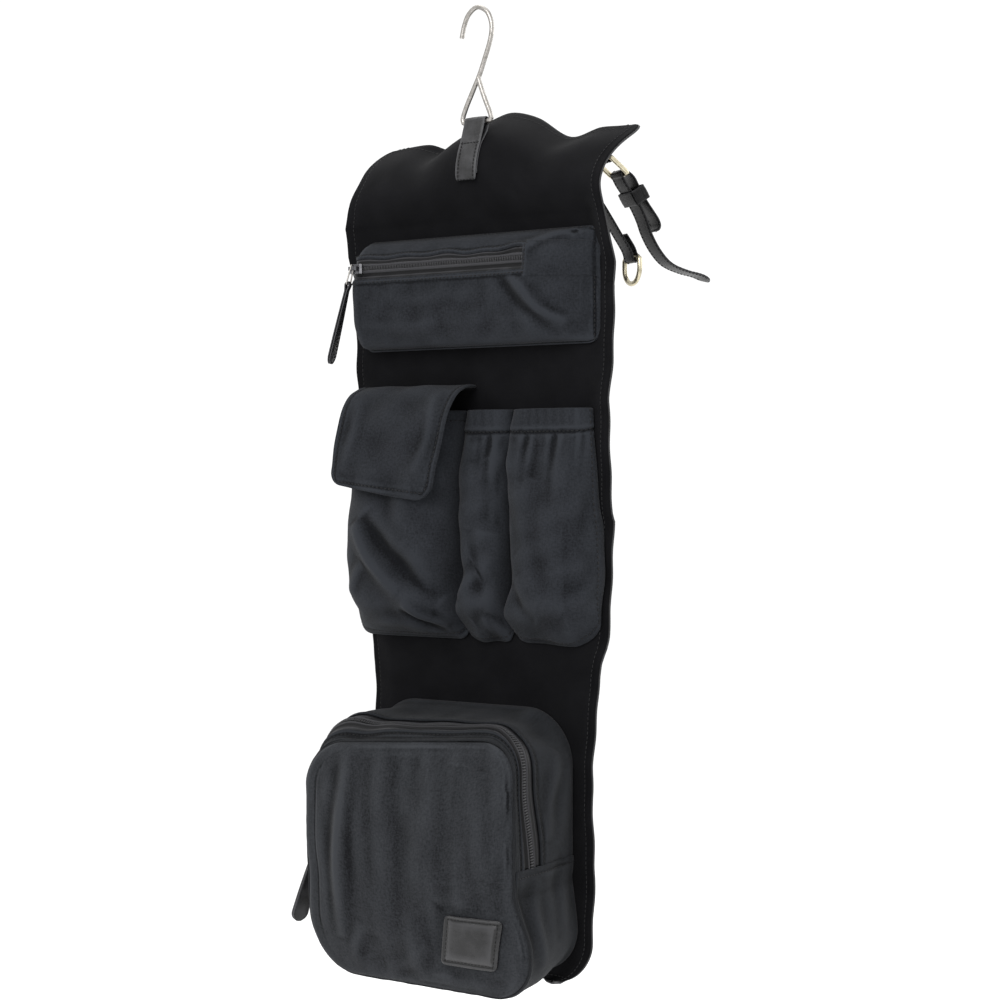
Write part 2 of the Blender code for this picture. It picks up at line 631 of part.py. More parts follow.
def closure_point(side, out, z, across=0.0):
    """A point of the closing strap: out from its foot, at a height, and across the strap's width."""
    x, y = CLOSURE_FOOT
    turn = CLOSURE_TURN
    reach = x + out * math.sin(turn) + across * math.cos(turn)
    return Vector((side * reach, y + out * math.cos(turn) - across * math.sin(turn), z))


def closure_across(side):
    """The strap's width direction, always towards +X."""
    return Vector((math.cos(CLOSURE_TURN), -side * math.sin(CLOSURE_TURN), 0))


def closing_strap(side, strap_pivot, ring_pivot):
    """Tab, frame, strap with its keeper, and a hanging ring in its own tab."""
    name = "right" if side > 0 else "left"
    across = closure_across(side)
    half = 0.0120
    corners = [closure_point(side, *FRAME_BARS[i], across=half * k) for i, k in ((0, 1), (1, 1), (1, -1), (0, -1))]
    tube(f"strap_frame_{name}", rounded_loop(corners, 0.003), RING_WIRE, "brass", strap_pivot, cyclic=True, sides=2)
    frame_tab(name, side, across)
    out, z = FRAME_BARS[1]
    wrap = [(out + 0.0031 * math.cos(a), z + 0.0031 * math.sin(a))
            for a in (math.radians(50 + 190 * i / 4) for i in range(5))]
    points = [(*at,) for at in STRAP_LEAD] + wrap + [(*at,) for at in STRAP_TAIL]
    path = [closure_point(side, *at) for at in points]
    ribbon(f"closure_strap_{name}", path, rounded_end(0.0170), 0.0017, "leather", strap_pivot, across=across)
    keeper(name, side, across, strap_pivot)
    hanging_ring(name, side, across, ring_pivot)


def rounded_loop(corners, radius, steps=3):
    """A closed path round these corners with small arcs at each."""
    points = []
    count = len(corners)
    for i, corner in enumerate(corners):
        before, after = corners[i - 1], corners[(i + 1) % count]
        into, out = (before - corner).normalized(), (after - corner).normalized()
        for k in range(steps + 1):
            f = k / steps
            start, finish = corner + into * radius, corner + out * radius
            points.append(start * (1 - f) ** 2 + corner * 2 * f * (1 - f) + finish * f**2)
    return points


def flap_back(side, out_x, t, clear):
    """A point behind the flap's leather at this height share, clear of it by this much."""
    u = side * out_x / TOP_HALF
    return flap_point(u, t) - flap_normal(u, t) * (LINING_THICK + SHELL_THICK + 2 * GAP + clear)


def frame_tab(name, side, across):
    """Leather tab sewn to the back of the flap that holds the frame's inner bar."""
    bar = FRAME_BARS[0]
    turn = RING_WIRE + 0.0011
    wrap = [closure_point(side, bar[0] + turn * math.cos(a), bar[1] + turn * math.sin(a))
            for a in (math.radians(-100 + 240 * i / 5) for i in range(6))]
    half = 0.0080
    rows = [[flap_back(side, CLOSURE_FOOT[0] + side * k * half, t, 0.0012) for k in (-1, 0, 1)] for t in (0.34, 0.46)]
    rows += [[point + across * k * half for k in (-1, 0, 1)] for point in wrap]
    sheet(f"strap_frame_tab_{name}", rows, 0.0012, "leather", side=0)


def keeper(name, side, across, parent):
    """Closed leather loop round both layers of the strap."""
    out, z = 0.0335, -0.1475
    along, up = (0.54, -0.84), (0.84, 0.54)
    wide, high = 0.0108, 0.0062
    corners = [closure_point(side, out + up[0] * high * b, z + up[1] * high * b, across=wide * a)
               for a, b in ((1, 1), (-1, 1), (-1, -1), (1, -1))]
    step = closure_point(side, along[0], along[1]) - closure_point(side, 0, 0)
    rows = [[point + step * k for k in (-0.0055, 0.0055)] for point in rounded_loop(corners, 0.002, 2)]
    sheet(f"strap_keeper_{name}", rows, 0.0012, "leather", parent, closed=True, side=0)


def hanging_ring(name, side, across, parent):
    """A D-shaped ring in a folded leather tab that is sewn to the back of the flap."""
    out, z = RING_BAR
    turn = RING_WIRE + 0.0012
    half = 0.0075
    rows = [[flap_back(side, CLOSURE_FOOT[0] + side * k * half, 0.10, 0.0012) for k in (-1, 0, 1)]]
    path = [closure_point(side, *at) for at in RING_TAB]
    path += [closure_point(side, out + turn * math.cos(a), z + turn * math.sin(a))
             for a in (math.radians(200 + 240 * i / 6) for i in range(7))]
    path += [closure_point(side, 0.0300, -0.1860), closure_point(side, 0.0235, -0.1770)]
    rows += [[point + across * k * half for k in (-1, 0, 1)] for point in path]
    sheet(f"ring_tab_{name}", rows, 0.0013, "leather", side=0)
    half, drop = 0.0115, 0.0190
    bar = [(half - 0.002, 0.0), (half, -0.002)]
    bow = [(half * math.cos(a), half - drop + half * math.sin(a)) for a in (-math.pi * i / 8 for i in range(9))]
    loop = bar + bow + [(-a, b) for a, b in reversed(bar)]
    points = [closure_point(side, out, z + b, across=a) for a, b in loop]
    tube(f"hanging_ring_{name}", points, RING_WIRE, "brass", parent, cyclic=True, sides=2)


# ---------------------------------------------------------------- assembly

def clear_scene():
    for old in list(bpy.data.objects):
        bpy.data.objects.remove(old, do_unlink=True)


def build():
    clear_scene()
    hook()
    panel()
    hanging_strap()
    seat = top_pocket_point(-0.0995, 0.345)
    slider = pivot("top_slider_pivot", seat)
    top_pocket(slider, pivot("top_pull_pivot", seat + Vector((0, -0.0078, 0))))
    middle_pockets(pivot("pocket_flap_pivot", (0, 0.0015, -0.2880)))
    d = sum(POUCH_BANDS["coil"]) / 2
    left = blend_outline(d)["centre"] - blend_outline(d)["half"]
    slider = pivot("pouch_slider_pivot", (left, pouch_y(d), -0.6340))
    pouch(slider, pivot("pouch_pull_pivot", (left - 0.0052, pouch_y(d), -0.6340)))
    for side in (1, -1):
        strap = pivot(f"closing_strap_pivot_{side}", closure_point(side, *FRAME_BARS[0]))
        ring = pivot(f"hanging_ring_pivot_{side}", closure_point(side, *RING_BAR))
        closing_strap(side, strap, ring)


build()
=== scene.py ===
"""Looks of the hanging toiletry bag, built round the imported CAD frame.

Metres, +Z up, the pockets face -Y. Every cloth piece is a grid of points P[i, j] whose rows i run down
(or from the panel outwards) and whose columns j run to the right, so that di x dj points out of the bag.
"""

import math

import bpy
import numpy as np
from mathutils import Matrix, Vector
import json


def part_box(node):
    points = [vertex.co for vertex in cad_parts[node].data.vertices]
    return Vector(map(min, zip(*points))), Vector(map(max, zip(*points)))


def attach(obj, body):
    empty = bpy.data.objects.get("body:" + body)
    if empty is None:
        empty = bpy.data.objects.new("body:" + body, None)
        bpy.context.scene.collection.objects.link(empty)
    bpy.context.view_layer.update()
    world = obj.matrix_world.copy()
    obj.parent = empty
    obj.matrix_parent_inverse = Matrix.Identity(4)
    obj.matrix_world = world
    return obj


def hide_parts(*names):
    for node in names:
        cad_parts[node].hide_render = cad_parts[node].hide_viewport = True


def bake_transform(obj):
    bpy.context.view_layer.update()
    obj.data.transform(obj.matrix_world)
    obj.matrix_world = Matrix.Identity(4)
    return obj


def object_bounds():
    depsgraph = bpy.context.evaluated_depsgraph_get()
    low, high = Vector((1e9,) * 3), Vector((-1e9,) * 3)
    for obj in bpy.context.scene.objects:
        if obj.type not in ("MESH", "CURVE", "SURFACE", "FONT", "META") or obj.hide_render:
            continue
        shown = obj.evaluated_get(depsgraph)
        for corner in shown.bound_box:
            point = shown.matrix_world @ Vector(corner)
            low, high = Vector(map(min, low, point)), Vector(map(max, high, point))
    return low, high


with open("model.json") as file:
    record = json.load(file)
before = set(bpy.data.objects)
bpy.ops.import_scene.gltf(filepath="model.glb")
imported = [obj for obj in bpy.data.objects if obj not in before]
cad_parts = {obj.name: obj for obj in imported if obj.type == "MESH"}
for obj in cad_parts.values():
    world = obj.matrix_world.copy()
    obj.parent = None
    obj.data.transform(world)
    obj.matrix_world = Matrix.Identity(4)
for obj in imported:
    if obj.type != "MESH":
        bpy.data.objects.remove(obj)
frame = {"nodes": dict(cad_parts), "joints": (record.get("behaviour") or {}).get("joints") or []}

CAD_LOW, CAD_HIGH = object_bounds()
JOINT = {joint["name"]: joint for joint in frame["joints"]}


def cad_box(name):
    """Low and high corner of a CAD node."""
    return [[float(x) for x in corner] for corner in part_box(name)]


# ---------------------------------------------------------------- numbers

def ease(low, high, x):
    t = np.clip((x - low) / (high - low), 0, 1)
    return t * t * (3 - 2 * t)


def bell(x, centre, width):
    return np.exp(-((x - centre) / width) ** 2)


def drawn_in(near):
    """How far a round corner draws in, as a share of its radius, for near from 0 to 1 along it."""
    return 1 - np.sqrt(np.maximum(0, 1 - near**2))


def crowded(count, bunched, even):
    """Values from -1 to 1 that crowd towards both ends."""
    steps = np.linspace(-1, 1, count)
    return bunched * np.sin(steps * math.pi / 2) + even * steps


def crowded_share(count, bunched, even):
    """Values from 0 to 1 that crowd towards both ends."""
    steps = np.linspace(0, 1, count)
    return bunched * (0.5 - 0.5 * np.cos(math.pi * steps)) + even * steps


def index_at(value, knots):
    """Fractional index of a value among rising knots."""
    return np.interp(value, knots, np.arange(len(knots)))


def walk(points):
    """Length walked along a path at each of its points."""
    return np.concatenate([[0], np.cumsum(np.linalg.norm(np.diff(points, axis=0), axis=1))])


def curve(knots, t):
    """A smooth curve through evenly spaced values or points, for t from 0 to 1."""
    knots = np.asarray(knots, float)
    last = len(knots) - 1
    padded = np.concatenate([[2 * knots[0] - knots[1]], knots, [2 * knots[-1] - knots[-2]]])
    at = np.clip(np.asarray(t, float), 0, 1) * last
    i = np.minimum(at.astype(int), last - 1)
    f = at - i
    if knots.ndim > 1:
        f = f[..., None]
    a, b = padded[i + 1], padded[i + 2]
    into, out = (b - padded[i]) / 2, (padded[i + 3] - a) / 2
    return (a * (2 * f**3 - 3 * f**2 + 1) + into * (f**3 - 2 * f**2 + f)
            + b * (3 * f**2 - 2 * f**3) + out * (f**3 - f**2))


def wander(p, size, seed):
    """A smooth random field over points, about -1 to 1, with lumps of this size."""
    rng = np.random.default_rng(seed)
    total = 0
    for _ in range(10):
        way = rng.normal(size=p.shape[-1])
        way /= np.linalg.norm(way)
        total = total + np.sin(p @ way * (2 * math.pi / size) * rng.uniform(0.6, 1.5) + rng.uniform(0, 6.3))
    return total / 4.2


def unit(v):
    return v / np.maximum(np.linalg.norm(v, axis=-1, keepdims=True), 1e-12)


def normals(P):
    return unit(np.cross(np.gradient(P, axis=0), np.gradient(P, axis=1)))


def raised(P, height):
    """A grid moved outwards by a height at each point."""
    return P + normals(P) * np.broadcast_to(height, P.shape[:2])[..., None]


def along_line(p, line):
    """Signed distance of points to a polyline, and the share of its length at the nearest point."""
    line = np.asarray(line, float)
    lengths = np.linalg.norm(np.diff(line, axis=0), axis=1)
    total, walked = lengths.sum(), 0.0
    best = np.full(p.shape[:-1], 1e9)
    side, share = np.zeros_like(best), np.zeros_like(best)
    for a, b, length in zip(line, line[1:], lengths):
        way = (b - a) / length
        offset = p - a
        t = np.clip(offset @ way, 0, length)
        gap = np.linalg.norm(offset - t[..., None] * way, axis=-1)
        near = gap < best
        best = np.where(near, gap, best)
        side = np.where(near, np.sign(way[0] * offset[..., 1] - way[1] * offset[..., 0]), side)
        share = np.where(near, (walked + t) / total, share)
        walked += length
    return best * np.where(side == 0, 1, side), share


def folds(flat, lines):
    """Height of soft folds over points of a plane. Each is (points, height, half width, lean)."""
    total = 0
    for line, height, width, lean_to in lines:
        d, share = along_line(flat, curve(line, np.linspace(0, 1, 4 * len(line))))
        taper = np.sin(math.pi * np.clip(share, 0, 1)) ** 0.6
        total = total + height * taper * (bell(d, 0, width) - 0.55 * bell(d, lean_to * 1.7 * width, width * 1.1))
    return total


# ---------------------------------------------------------------- materials

MILLIMETRES = (1000, 1000, 1000)
YARN = 0.62  # millimetres between the canvas's yarns


def node(tree, kind, inputs=(), **settings):
    made = tree.nodes.new("ShaderNode" + kind)
    for key, value in settings.items():
        setattr(made, key, value)
    for key, value in dict(inputs).items():
        if isinstance(value, bpy.types.NodeSocket):
            tree.links.new(value, made.inputs[key])
        else:
            made.inputs[key].default_value = value
    return made


def new_look(name, **shader_inputs):
    made = bpy.data.materials.new(name)
    made.use_nodes = True
    shader = made.node_tree.nodes["Principled BSDF"]
    for key, value in shader_inputs.items():
        shader.inputs[key.replace("_", " ")].default_value = value
    return made, made.node_tree, shader


def math_node(tree, operation, a, b):
    return node(tree, "Math", {0: a, 1: b}, operation=operation).outputs[0]


def weigh(tree, first, *others):
    """The sum of (socket, weight) pairs."""
    total = math_node(tree, "MULTIPLY", *first)
    for other in others:
        total = math_node(tree, "ADD", total, math_node(tree, "MULTIPLY", *other))
    return total


def cloth_place(tree, scale=MILLIMETRES):
    """Position on the cloth in millimetres, from the piece's own map."""
    at = node(tree, "UVMap", uv_map="cloth").outputs["UV"]
    return node(tree, "Mapping", {"Vector": at, "Scale": scale}).outputs["Vector"]


def object_place(tree):
    at = node(tree, "TexCoord").outputs["Object"]
    return node(tree, "Mapping", {"Vector": at, "Scale": MILLIMETRES}).outputs["Vector"]


def noise(tree, at, scale, detail=3.0, rough=0.55):
    return node(tree, "TexNoise", {"Vector": at, "Scale": scale, "Detail": detail, "Roughness": rough}).outputs["Fac"]


def wave(tree, at, scale, distortion, direction, detail_scale=1.0):
    inputs = {"Vector": at, "Scale": scale, "Distortion": distortion, "Detail Scale": detail_scale}
    return node(tree, "TexWave", inputs, bands_direction=direction).outputs["Fac"]


# The attribute read here carries wear on ridges and edges, and painted shade that darkens hollows.
def wear_and_shade_on(tree):
    return node(tree, "Attribute", attribute_name="wear_and_shade").outputs["Fac"]


def tint(tree, shader, value, stops):
    """Base colour from a ramp of (place, colour) stops."""
    made = node(tree, "ValToRGB", {"Fac": value})
    points = made.color_ramp.elements
    while len(points) < len(stops):
        points.new(0.5)
    for point, (at, colour) in zip(points, stops):
        point.position = at
        point.color = (*colour, 1)
    tree.links.new(made.outputs["Color"], shader.inputs["Base Color"])


def polish(tree, shader, value, low, high, smooth, rough):
    """Roughness from smooth to rough as the value goes from low to high."""
    spread = node(tree, "MapRange", {"Value": value, "From Min": low, "From Max": high, "To Min": smooth,
                                     "To Max": rough})
    tree.links.new(spread.outputs[0], shader.inputs["Roughness"])


def relief(tree, shader, *layers):
    """Bumps from (height, strength, distance) layers, one on the other."""
    below = {}
    for height, strength, distance in layers:
        made = node(tree, "Bump", {"Height": height, "Strength": strength, "Distance": distance, **below})
        below = {"Normal": made.outputs[0]}
    tree.links.new(made.outputs[0], shader.inputs["Normal"])


def canvas_look(name, dark, light, streaks=0.05):
    """Brushed cotton canvas: a plain weave under worn, streaky nap."""
    made, tree, shader = new_look(name, Roughness=0.9, Specular_IOR_Level=0.08, Sheen_Weight=0.035,
                                  Sheen_Roughness=0.5)
    at = cloth_place(tree)
    warp, weft = (math_node(tree, "ADD", wave(tree, at, 0.314 / YARN, 0.6, way, 0.3), 0.35) for way in "XY")
    weave = math_node(tree, "MULTIPLY", warp, weft)
    streak = noise(tree, cloth_place(tree, (1600, 170, 1)), 1.0)
    cross = noise(tree, cloth_place(tree, (190, 1500, 1)), 1.0, 2.0)
    nap = noise(tree, at, 0.045, 6.0, 0.62)
    fine = noise(tree, at, 0.55, 5.0, 0.78)
    broad = math_node(tree, "SUBTRACT", noise(tree, cloth_place(tree, (95, 13, 1)), 1.0, 4.0, 0.6), 0.5)
    # the attribute term lightens worn ridges and edges and darkens hollows with painted shade
    mixed = weigh(tree, (streak, 0.26), (cross, 0.16), (nap, 0.16), (fine, 0.72), (wear_and_shade_on(tree), 0.30),
                  (weave, 0.05), (broad, streaks * 2))
    tint(tree, shader, mixed, [(0.50, dark), (0.68, [(a + b) / 2 for a, b in zip(dark, light)]), (0.90, light)])
    relief(tree, shader, (weave, 0.55, 0.00012), (fine, 0.35, 0.0003))
    return made


def suede_look(name):
    """Near-black napped lining, brushed in soft patches."""
    made, tree, shader = new_look(name, Roughness=0.95, Specular_IOR_Level=0.04, Sheen_Weight=0.035,
                                  Sheen_Roughness=0.45)
    at = cloth_place(tree)
    grain = noise(tree, at, 1.6, 3.0, 0.7)
    # the attribute term lightens worn ridges and edges and darkens hollows with painted shade
    mixed = weigh(tree, (noise(tree, at, 0.028, 5.0, 0.6), 0.6), (grain, 0.4), (wear_and_shade_on(tree), 0.25))
    tint(tree, shader, mixed, [(0.30, (0.0026, 0.0026, 0.0030)), (0.72, (0.0064, 0.0064, 0.0073))])
    relief(tree, shader, (grain, 0.6, 0.0003))
    return made


def leather_look(name, dark, light, rough, shine=0.42, grain_depth=0.0005):
    """Black leather with a pebbled grain, fine cracks and paler worn edges."""
    made, tree, shader = new_look(name, Specular_IOR_Level=shine)
    at = cloth_place(tree)
    cells = node(tree, "TexVoronoi", {"Vector": at, "Scale": 0.95, "Randomness": 1.0}, feature="DISTANCE_TO_EDGE")
    grain = math_node(tree, "MINIMUM", cells.outputs["Distance"], 0.22)
    fine = noise(tree, at, 2.2, 4.0, 0.65)
    # the attribute term lightens worn edges and ridges and darkens hollows with painted shade
    mixed = weigh(tree, (noise(tree, at, 0.09, 5.0, 0.6), 0.55), (fine, 0.25), (wear_and_shade_on(tree), 0.45))
    tint(tree, shader, mixed, [(0.33, dark), (0.70, light)])
    polish(tree, shader, mixed, 0.25, 0.75, *rough)
    relief(tree, shader, (grain, 0.55, grain_depth), (fine, 0.25, 0.0003))
    return made


def tape_look(name):
    """Woven zip tape: fine ribs along it with a herringbone of crossing yarns."""
    made, tree, shader = new_look(name, Roughness=0.5, Specular_IOR_Level=0.16)
    at = cloth_place(tree)
    mixed = weigh(tree, (wave(tree, at, 0.42, 0.3, "Y"), 0.3), (wave(tree, at, 0.55, 0.5, "DIAGONAL"), 0.3))
    # the attribute term lightens worn ridges and darkens hollows with painted shade
    rubbed = math_node(tree, "ADD", mixed, weigh(tree, (wear_and_shade_on(tree), 0.7)))
    tint(tree, shader, rubbed, [(0.1, (0.0020, 0.0020, 0.0025)), (0.6, (0.0062, 0.0062, 0.0070)),
                                (1.0, (0.030, 0.030, 0.033))])
    relief(tree, shader, (mixed, 0.5, 0.0002))
    return made


def elastic_look(name):
    """Ribbed elastic or fastening tape."""
    made, tree, shader = new_look(name, Roughness=0.8, Specular_IOR_Level=0.15)
    at = cloth_place(tree)
    mixed = weigh(tree, (wave(tree, at, 0.22, 0.5, "Y"), 0.5), (noise(tree, at, 1.7, 3.0, 0.7), 0.5))
    tint(tree, shader, mixed, [(0.2, (0.006, 0.006, 0.007)), (0.8, (0.020, 0.020, 0.022))])
    relief(tree, shader, (mixed, 0.7, 0.0004))
    return made


def metal_look(name, colour, worn, rough):
    """Drawn wire: fine scratches, small tarnish spots and uneven polish."""
    made, tree, shader = new_look(name, Metallic=1.0)
    at = object_place(tree)
    lines = noise(tree, at, 3.0, 3.0, 0.6)
    tint(tree, shader, noise(tree, at, 0.35, 5.0, 0.7), [(0.35, colour), (0.68, worn)])
    polish(tree, shader, lines, 0.3, 0.7, rough - 0.09, rough + 0.12)
    relief(tree, shader, (lines, 0.12, 0.0002))
    return made


def thread_look(name, dark, light):
    made, tree, shader = new_look(name, Roughness=0.65, Specular_IOR_Level=0.3)
    twist = noise(tree, object_place(tree), 2.5, 2.0)
    tint(tree, shader, twist, [(0.35, dark), (0.65, light)])
    relief(tree, shader, (twist, 0.4, 0.0002))
    return made


LOOK = {
    "canvas": canvas_look("brushed_canvas", (0.0032, 0.0036, 0.0046), (0.0205, 0.0226, 0.0270)),
    # a darker copy of the canvas for the pouch's gussets: painted shade for the sides turned from the light
    "canvas_painted_shade": canvas_look("brushed_canvas_painted_shade", (0.0028, 0.0032, 0.0039), (0.0160, 0.0175, 0.0205)),
    "canvas_streaked": canvas_look("brushed_canvas_streaked", (0.0036, 0.0040, 0.0049), (0.029, 0.031, 0.035),
                                   0.11),
    "canvas_dark": canvas_look("brushed_canvas_dark", (0.0035, 0.0038, 0.0045), (0.016, 0.017, 0.019)),
    "lining": suede_look("suede_lining"),
    "leather": leather_look("black_leather", (0.0050, 0.0050, 0.0056), (0.021, 0.021, 0.023), (0.34, 0.58)),
    "leather_gloss": leather_look("glossy_leather", (0.0008, 0.0008, 0.0010), (0.015, 0.015, 0.016),
                                  (0.20, 0.40), 0.14, 0.0002),
    "leather_patch": leather_look("patch_leather", (0.0020, 0.0020, 0.0024), (0.024, 0.024, 0.026),
                                  (0.20, 0.40), 0.40, 0.0003),
    "leather_worn": leather_look("strap_leather", (0.0022, 0.0022, 0.0026), (0.043, 0.043, 0.047), (0.26, 0.58)),
    "tape": tape_look("zip_tape"),
    "elastic": elastic_look("ribbed_elastic"),
    "nickel": metal_look("brushed_nickel", (0.42, 0.40, 0.38), (0.24, 0.23, 0.21), 0.34),
    "brass": metal_look("pale_brass", (0.60, 0.55, 0.41), (0.40, 0.36, 0.25), 0.30),
    "gunmetal": metal_look("dark_zip_metal", (0.16, 0.16, 0.17), (0.08, 0.08, 0.085), 0.36),
    "thread": thread_look("black_thread", (0.0015, 0.0015, 0.0018), (0.0045, 0.0045, 0.0050)),
    "thread_grey": thread_look("grey_thread", (0.004, 0.004, 0.0045), (0.011, 0.0115, 0.012)),
    "coil": thread_look("nylon_coil", (0.016, 0.016, 0.017), (0.050, 0.050, 0.053)),
}


# ---------------------------------------------------------------- meshes

def add_object(name, data):
    made = bpy.data.objects.new(name, data)
    bpy.context.scene.collection.objects.link(made)
    return made


def make_object(name, verts, faces, look, flat=None, wear_and_shade=None):
    mesh = bpy.data.meshes.new(name)
    mesh.from_pydata(np.asarray(verts).tolist(), [], [list(face) for face in faces])
    mesh.validate()
    mesh.shade_smooth()
    if flat is not None:
        layer = mesh.uv_layers.new(name="cloth")
        corners = np.empty(len(mesh.loops), np.int32)
        mesh.loops.foreach_get("vertex_index", corners)
        layer.data.foreach_set("uv", np.asarray(flat, np.float32)[corners].ravel())
    if wear_and_shade is not None:
        mesh.attributes.new("wear_and_shade", "FLOAT", "POINT").data.foreach_set("value", np.asarray(wear_and_shade, np.float32))
    mesh.materials.append(LOOK[look])
    return add_object(name, mesh)


def place(piece, slot, body, *stands):
    """Say which CAD nodes a piece stands for and the body it rides; slot is not used."""
    if stands:
        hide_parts(*stands)
    if body:
        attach(piece, body)
    return piece


def cloth_map(P):
    """Each point's place on the flat cloth, in metres, measured from the middle column."""
    rows, cols = P.shape[:2]
    across, down = np.zeros((rows, cols)), np.zeros((rows, cols))
    across[:, 1:] = np.cumsum(np.linalg.norm(np.diff(P, axis=1), axis=2), axis=1)
    across -= across[:, cols // 2][:, None]
    down[1:] = np.cumsum(np.linalg.norm(np.diff(P, axis=0), axis=2), axis=0)
    return np.stack([across, -down], axis=2)


def worn(P, N, reach=2):
    """How much each point stands out from its surroundings: ridges rub pale with wear, and hollows get painted shade.
    """
    out = np.zeros(P.shape[:2])
    for axis in (0, 1):
        if P.shape[axis] <= 2 * reach + 1:
            continue
        ahead, behind = np.roll(P, -reach, axis=axis), np.roll(P, reach, axis=axis)
        span = (np.linalg.norm(ahead - P, axis=2) + np.linalg.norm(behind - P, axis=2)) / 2
        bend = -((ahead + behind - 2 * P) * N).sum(axis=2) / np.maximum(span, 1e-4) ** 2
        edge = [slice(None), slice(None)]
        edge[axis] = [*range(reach), *range(-reach, 0)]
        bend[tuple(edge)] = 0
        out += bend
    # negative values darken hollows below the cloth's own colour: painted shade
    return np.clip(out / 160, -0.6, 1.0)


def border(rows, cols):
    """Indices round a grid's edge, in order."""
    top = list(range(cols))
    right = [i * cols + cols - 1 for i in range(1, rows)]
    bottom = [(rows - 1) * cols + j for j in range(cols - 2, -1, -1)]
    left = [i * cols for i in range(rows - 2, 0, -1)]
    return np.array(top + right + bottom + left)


def grid_quads(rows, cols):
    index = np.arange(rows * cols).reshape(rows, cols)
    return np.stack([index[:-1, :-1], index[1:, :-1], index[1:, 1:], index[:-1, 1:]], axis=2).reshape(-1, 4)


def cloth(name, P, thick, look, edge_wear=0.35):
    """A closed piece of cloth or leather: P is its face, its back is behind it, and its rim is rounded."""
    rows, cols = P.shape[:2]
    N = normals(P)
    count = rows * cols
    face, back = P.reshape(-1, 3), (P - N * thick).reshape(-1, 3)
    quads = grid_quads(rows, cols)
    flat, wear_and_shade = cloth_map(P).reshape(-1, 2), worn(P, N).reshape(-1)
    loop = border(rows, cols)
    inward = np.clip(loop // cols, 1, rows - 2) * cols + np.clip(loop % cols, 1, cols - 2)
    rim = (face[loop] + back[loop]) / 2 + unit(face[loop] - face[inward]) * thick * 0.42
    ahead, here = np.roll(loop, -1), 2 * count + np.arange(len(loop))
    there = np.roll(here, -1)
    front_rim = np.stack([loop, ahead, there, here], axis=1)
    back_rim = np.stack([here, there, ahead + count, loop + count], axis=1)
    rims = np.stack([front_rim, back_rim], axis=1).reshape(-1, 4)
    faces = np.concatenate([quads, quads[:, ::-1] + count, rims]).tolist()
    return make_object(name, np.concatenate([face, back, rim]), faces, look,
                       np.concatenate([flat, flat, flat[loop]]),
                       np.concatenate([wear_and_shade, wear_and_shade * 0, np.full(len(loop), edge_wear)]))


def sample(P, rows, cols):
    """Points and outward normals of a grid at fractional rows and columns."""
    rows, cols = np.broadcast_arrays(np.asarray(rows, float), np.asarray(cols, float))
    rows = np.clip(rows, 0, P.shape[0] - 1.0001)
    cols = np.clip(cols, 0, P.shape[1] - 1.0001)
    i, j = rows.astype(int), cols.astype(int)
    f, g = (rows - i)[:, None], (cols - j)[:, None]

    def at(A):
        return (A[i, j] * (1 - f) * (1 - g) + A[i + 1, j] * f * (1 - g)
                + A[i, j + 1] * (1 - f) * g + A[i + 1, j + 1] * f * g)
    return at(P), unit(at(normals(P)))


def resample(points, extra, pitch):
    """Points spaced evenly by pitch along a path, with extra carried along."""
    walked = walk(points)
    at = np.linspace(0, walked[-1], max(2, int(round(walked[-1] / pitch)) + 1))
    points, extra = (np.stack([np.interp(at, walked, A[:, k]) for k in range(3)], axis=1) for A in (points, extra))
    return points, unit(extra)


GRAIN = np.array([(-0.5, 0.0, 0.0),
                  *[(t, s, u) for t in (-0.32, 0.32) for s, u in ((-0.5, 0), (0, 0.6), (0.5, 0), (0, -0.5))],
                  (0.5, 0.0, 0.0)])
GRAIN_FACES = ((0, 1, 2), (0, 2, 3), (0, 3, 4), (0, 4, 1), (1, 5, 6, 2), (2, 6, 7, 3), (3, 7, 8, 4), (4, 8, 5, 1),
               (9, 6, 5), (9, 7, 6), (9, 8, 7), (9, 5, 8))
SEWN = {}


def grains(key, centres, ways, outs, length, width, height):
    """Small rounded bars, such as stitches and zip teeth, kept under key until they are joined."""
    sides = unit(np.cross(outs, ways))
    outs = unit(np.cross(ways, sides))
    points = (centres[:, None] + ways[:, None] * GRAIN[None, :, :1] * length
              + sides[:, None] * GRAIN[None, :, 1:2] * width + outs[:, None] * GRAIN[None, :, 2:] * height)
    SEWN.setdefault(key, []).append(points.reshape(-1, 3))


def stitch(key, points, outs, pitch=0.0036, length=0.0025, width=0.0009):
    """A line of stitches along a path. key is (joined piece's name, look)."""
    at, out = resample(points, outs, pitch)
    grains(key, at + out * 0.00010, unit(np.gradient(at, axis=0)), out, length, width, width * 0.8)


def sew(key, P, rows, cols, *size):
    """A line of stitches over a grid, at fractional rows and columns."""
    stitch(key, *sample(P, rows, cols), *size)


def join_sewn(key):
    verts = np.concatenate(SEWN.pop(key))
    faces = [[base + v for v in face] for base in range(0, len(verts), len(GRAIN)) for face in GRAIN_FACES]
    return make_object(key[0], verts, faces, key[1])


def wire(name, points, radius, look, body, cyclic=False, sides=6):
    """A round wire through these points."""
    line = bpy.data.curves.new(name, "CURVE")
    line.dimensions = "3D"
    line.bevel_depth, line.bevel_resolution, line.use_fill_caps = radius, sides, True
    spline = line.splines.new("POLY")
    spline.points.add(len(points) - 1)
    for point, at in zip(spline.points, points):
        point.co = (*at, 1)
    spline.use_cyclic_u = cyclic
    line.materials.append(LOOK[look])
    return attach(add_object(name, line), body)


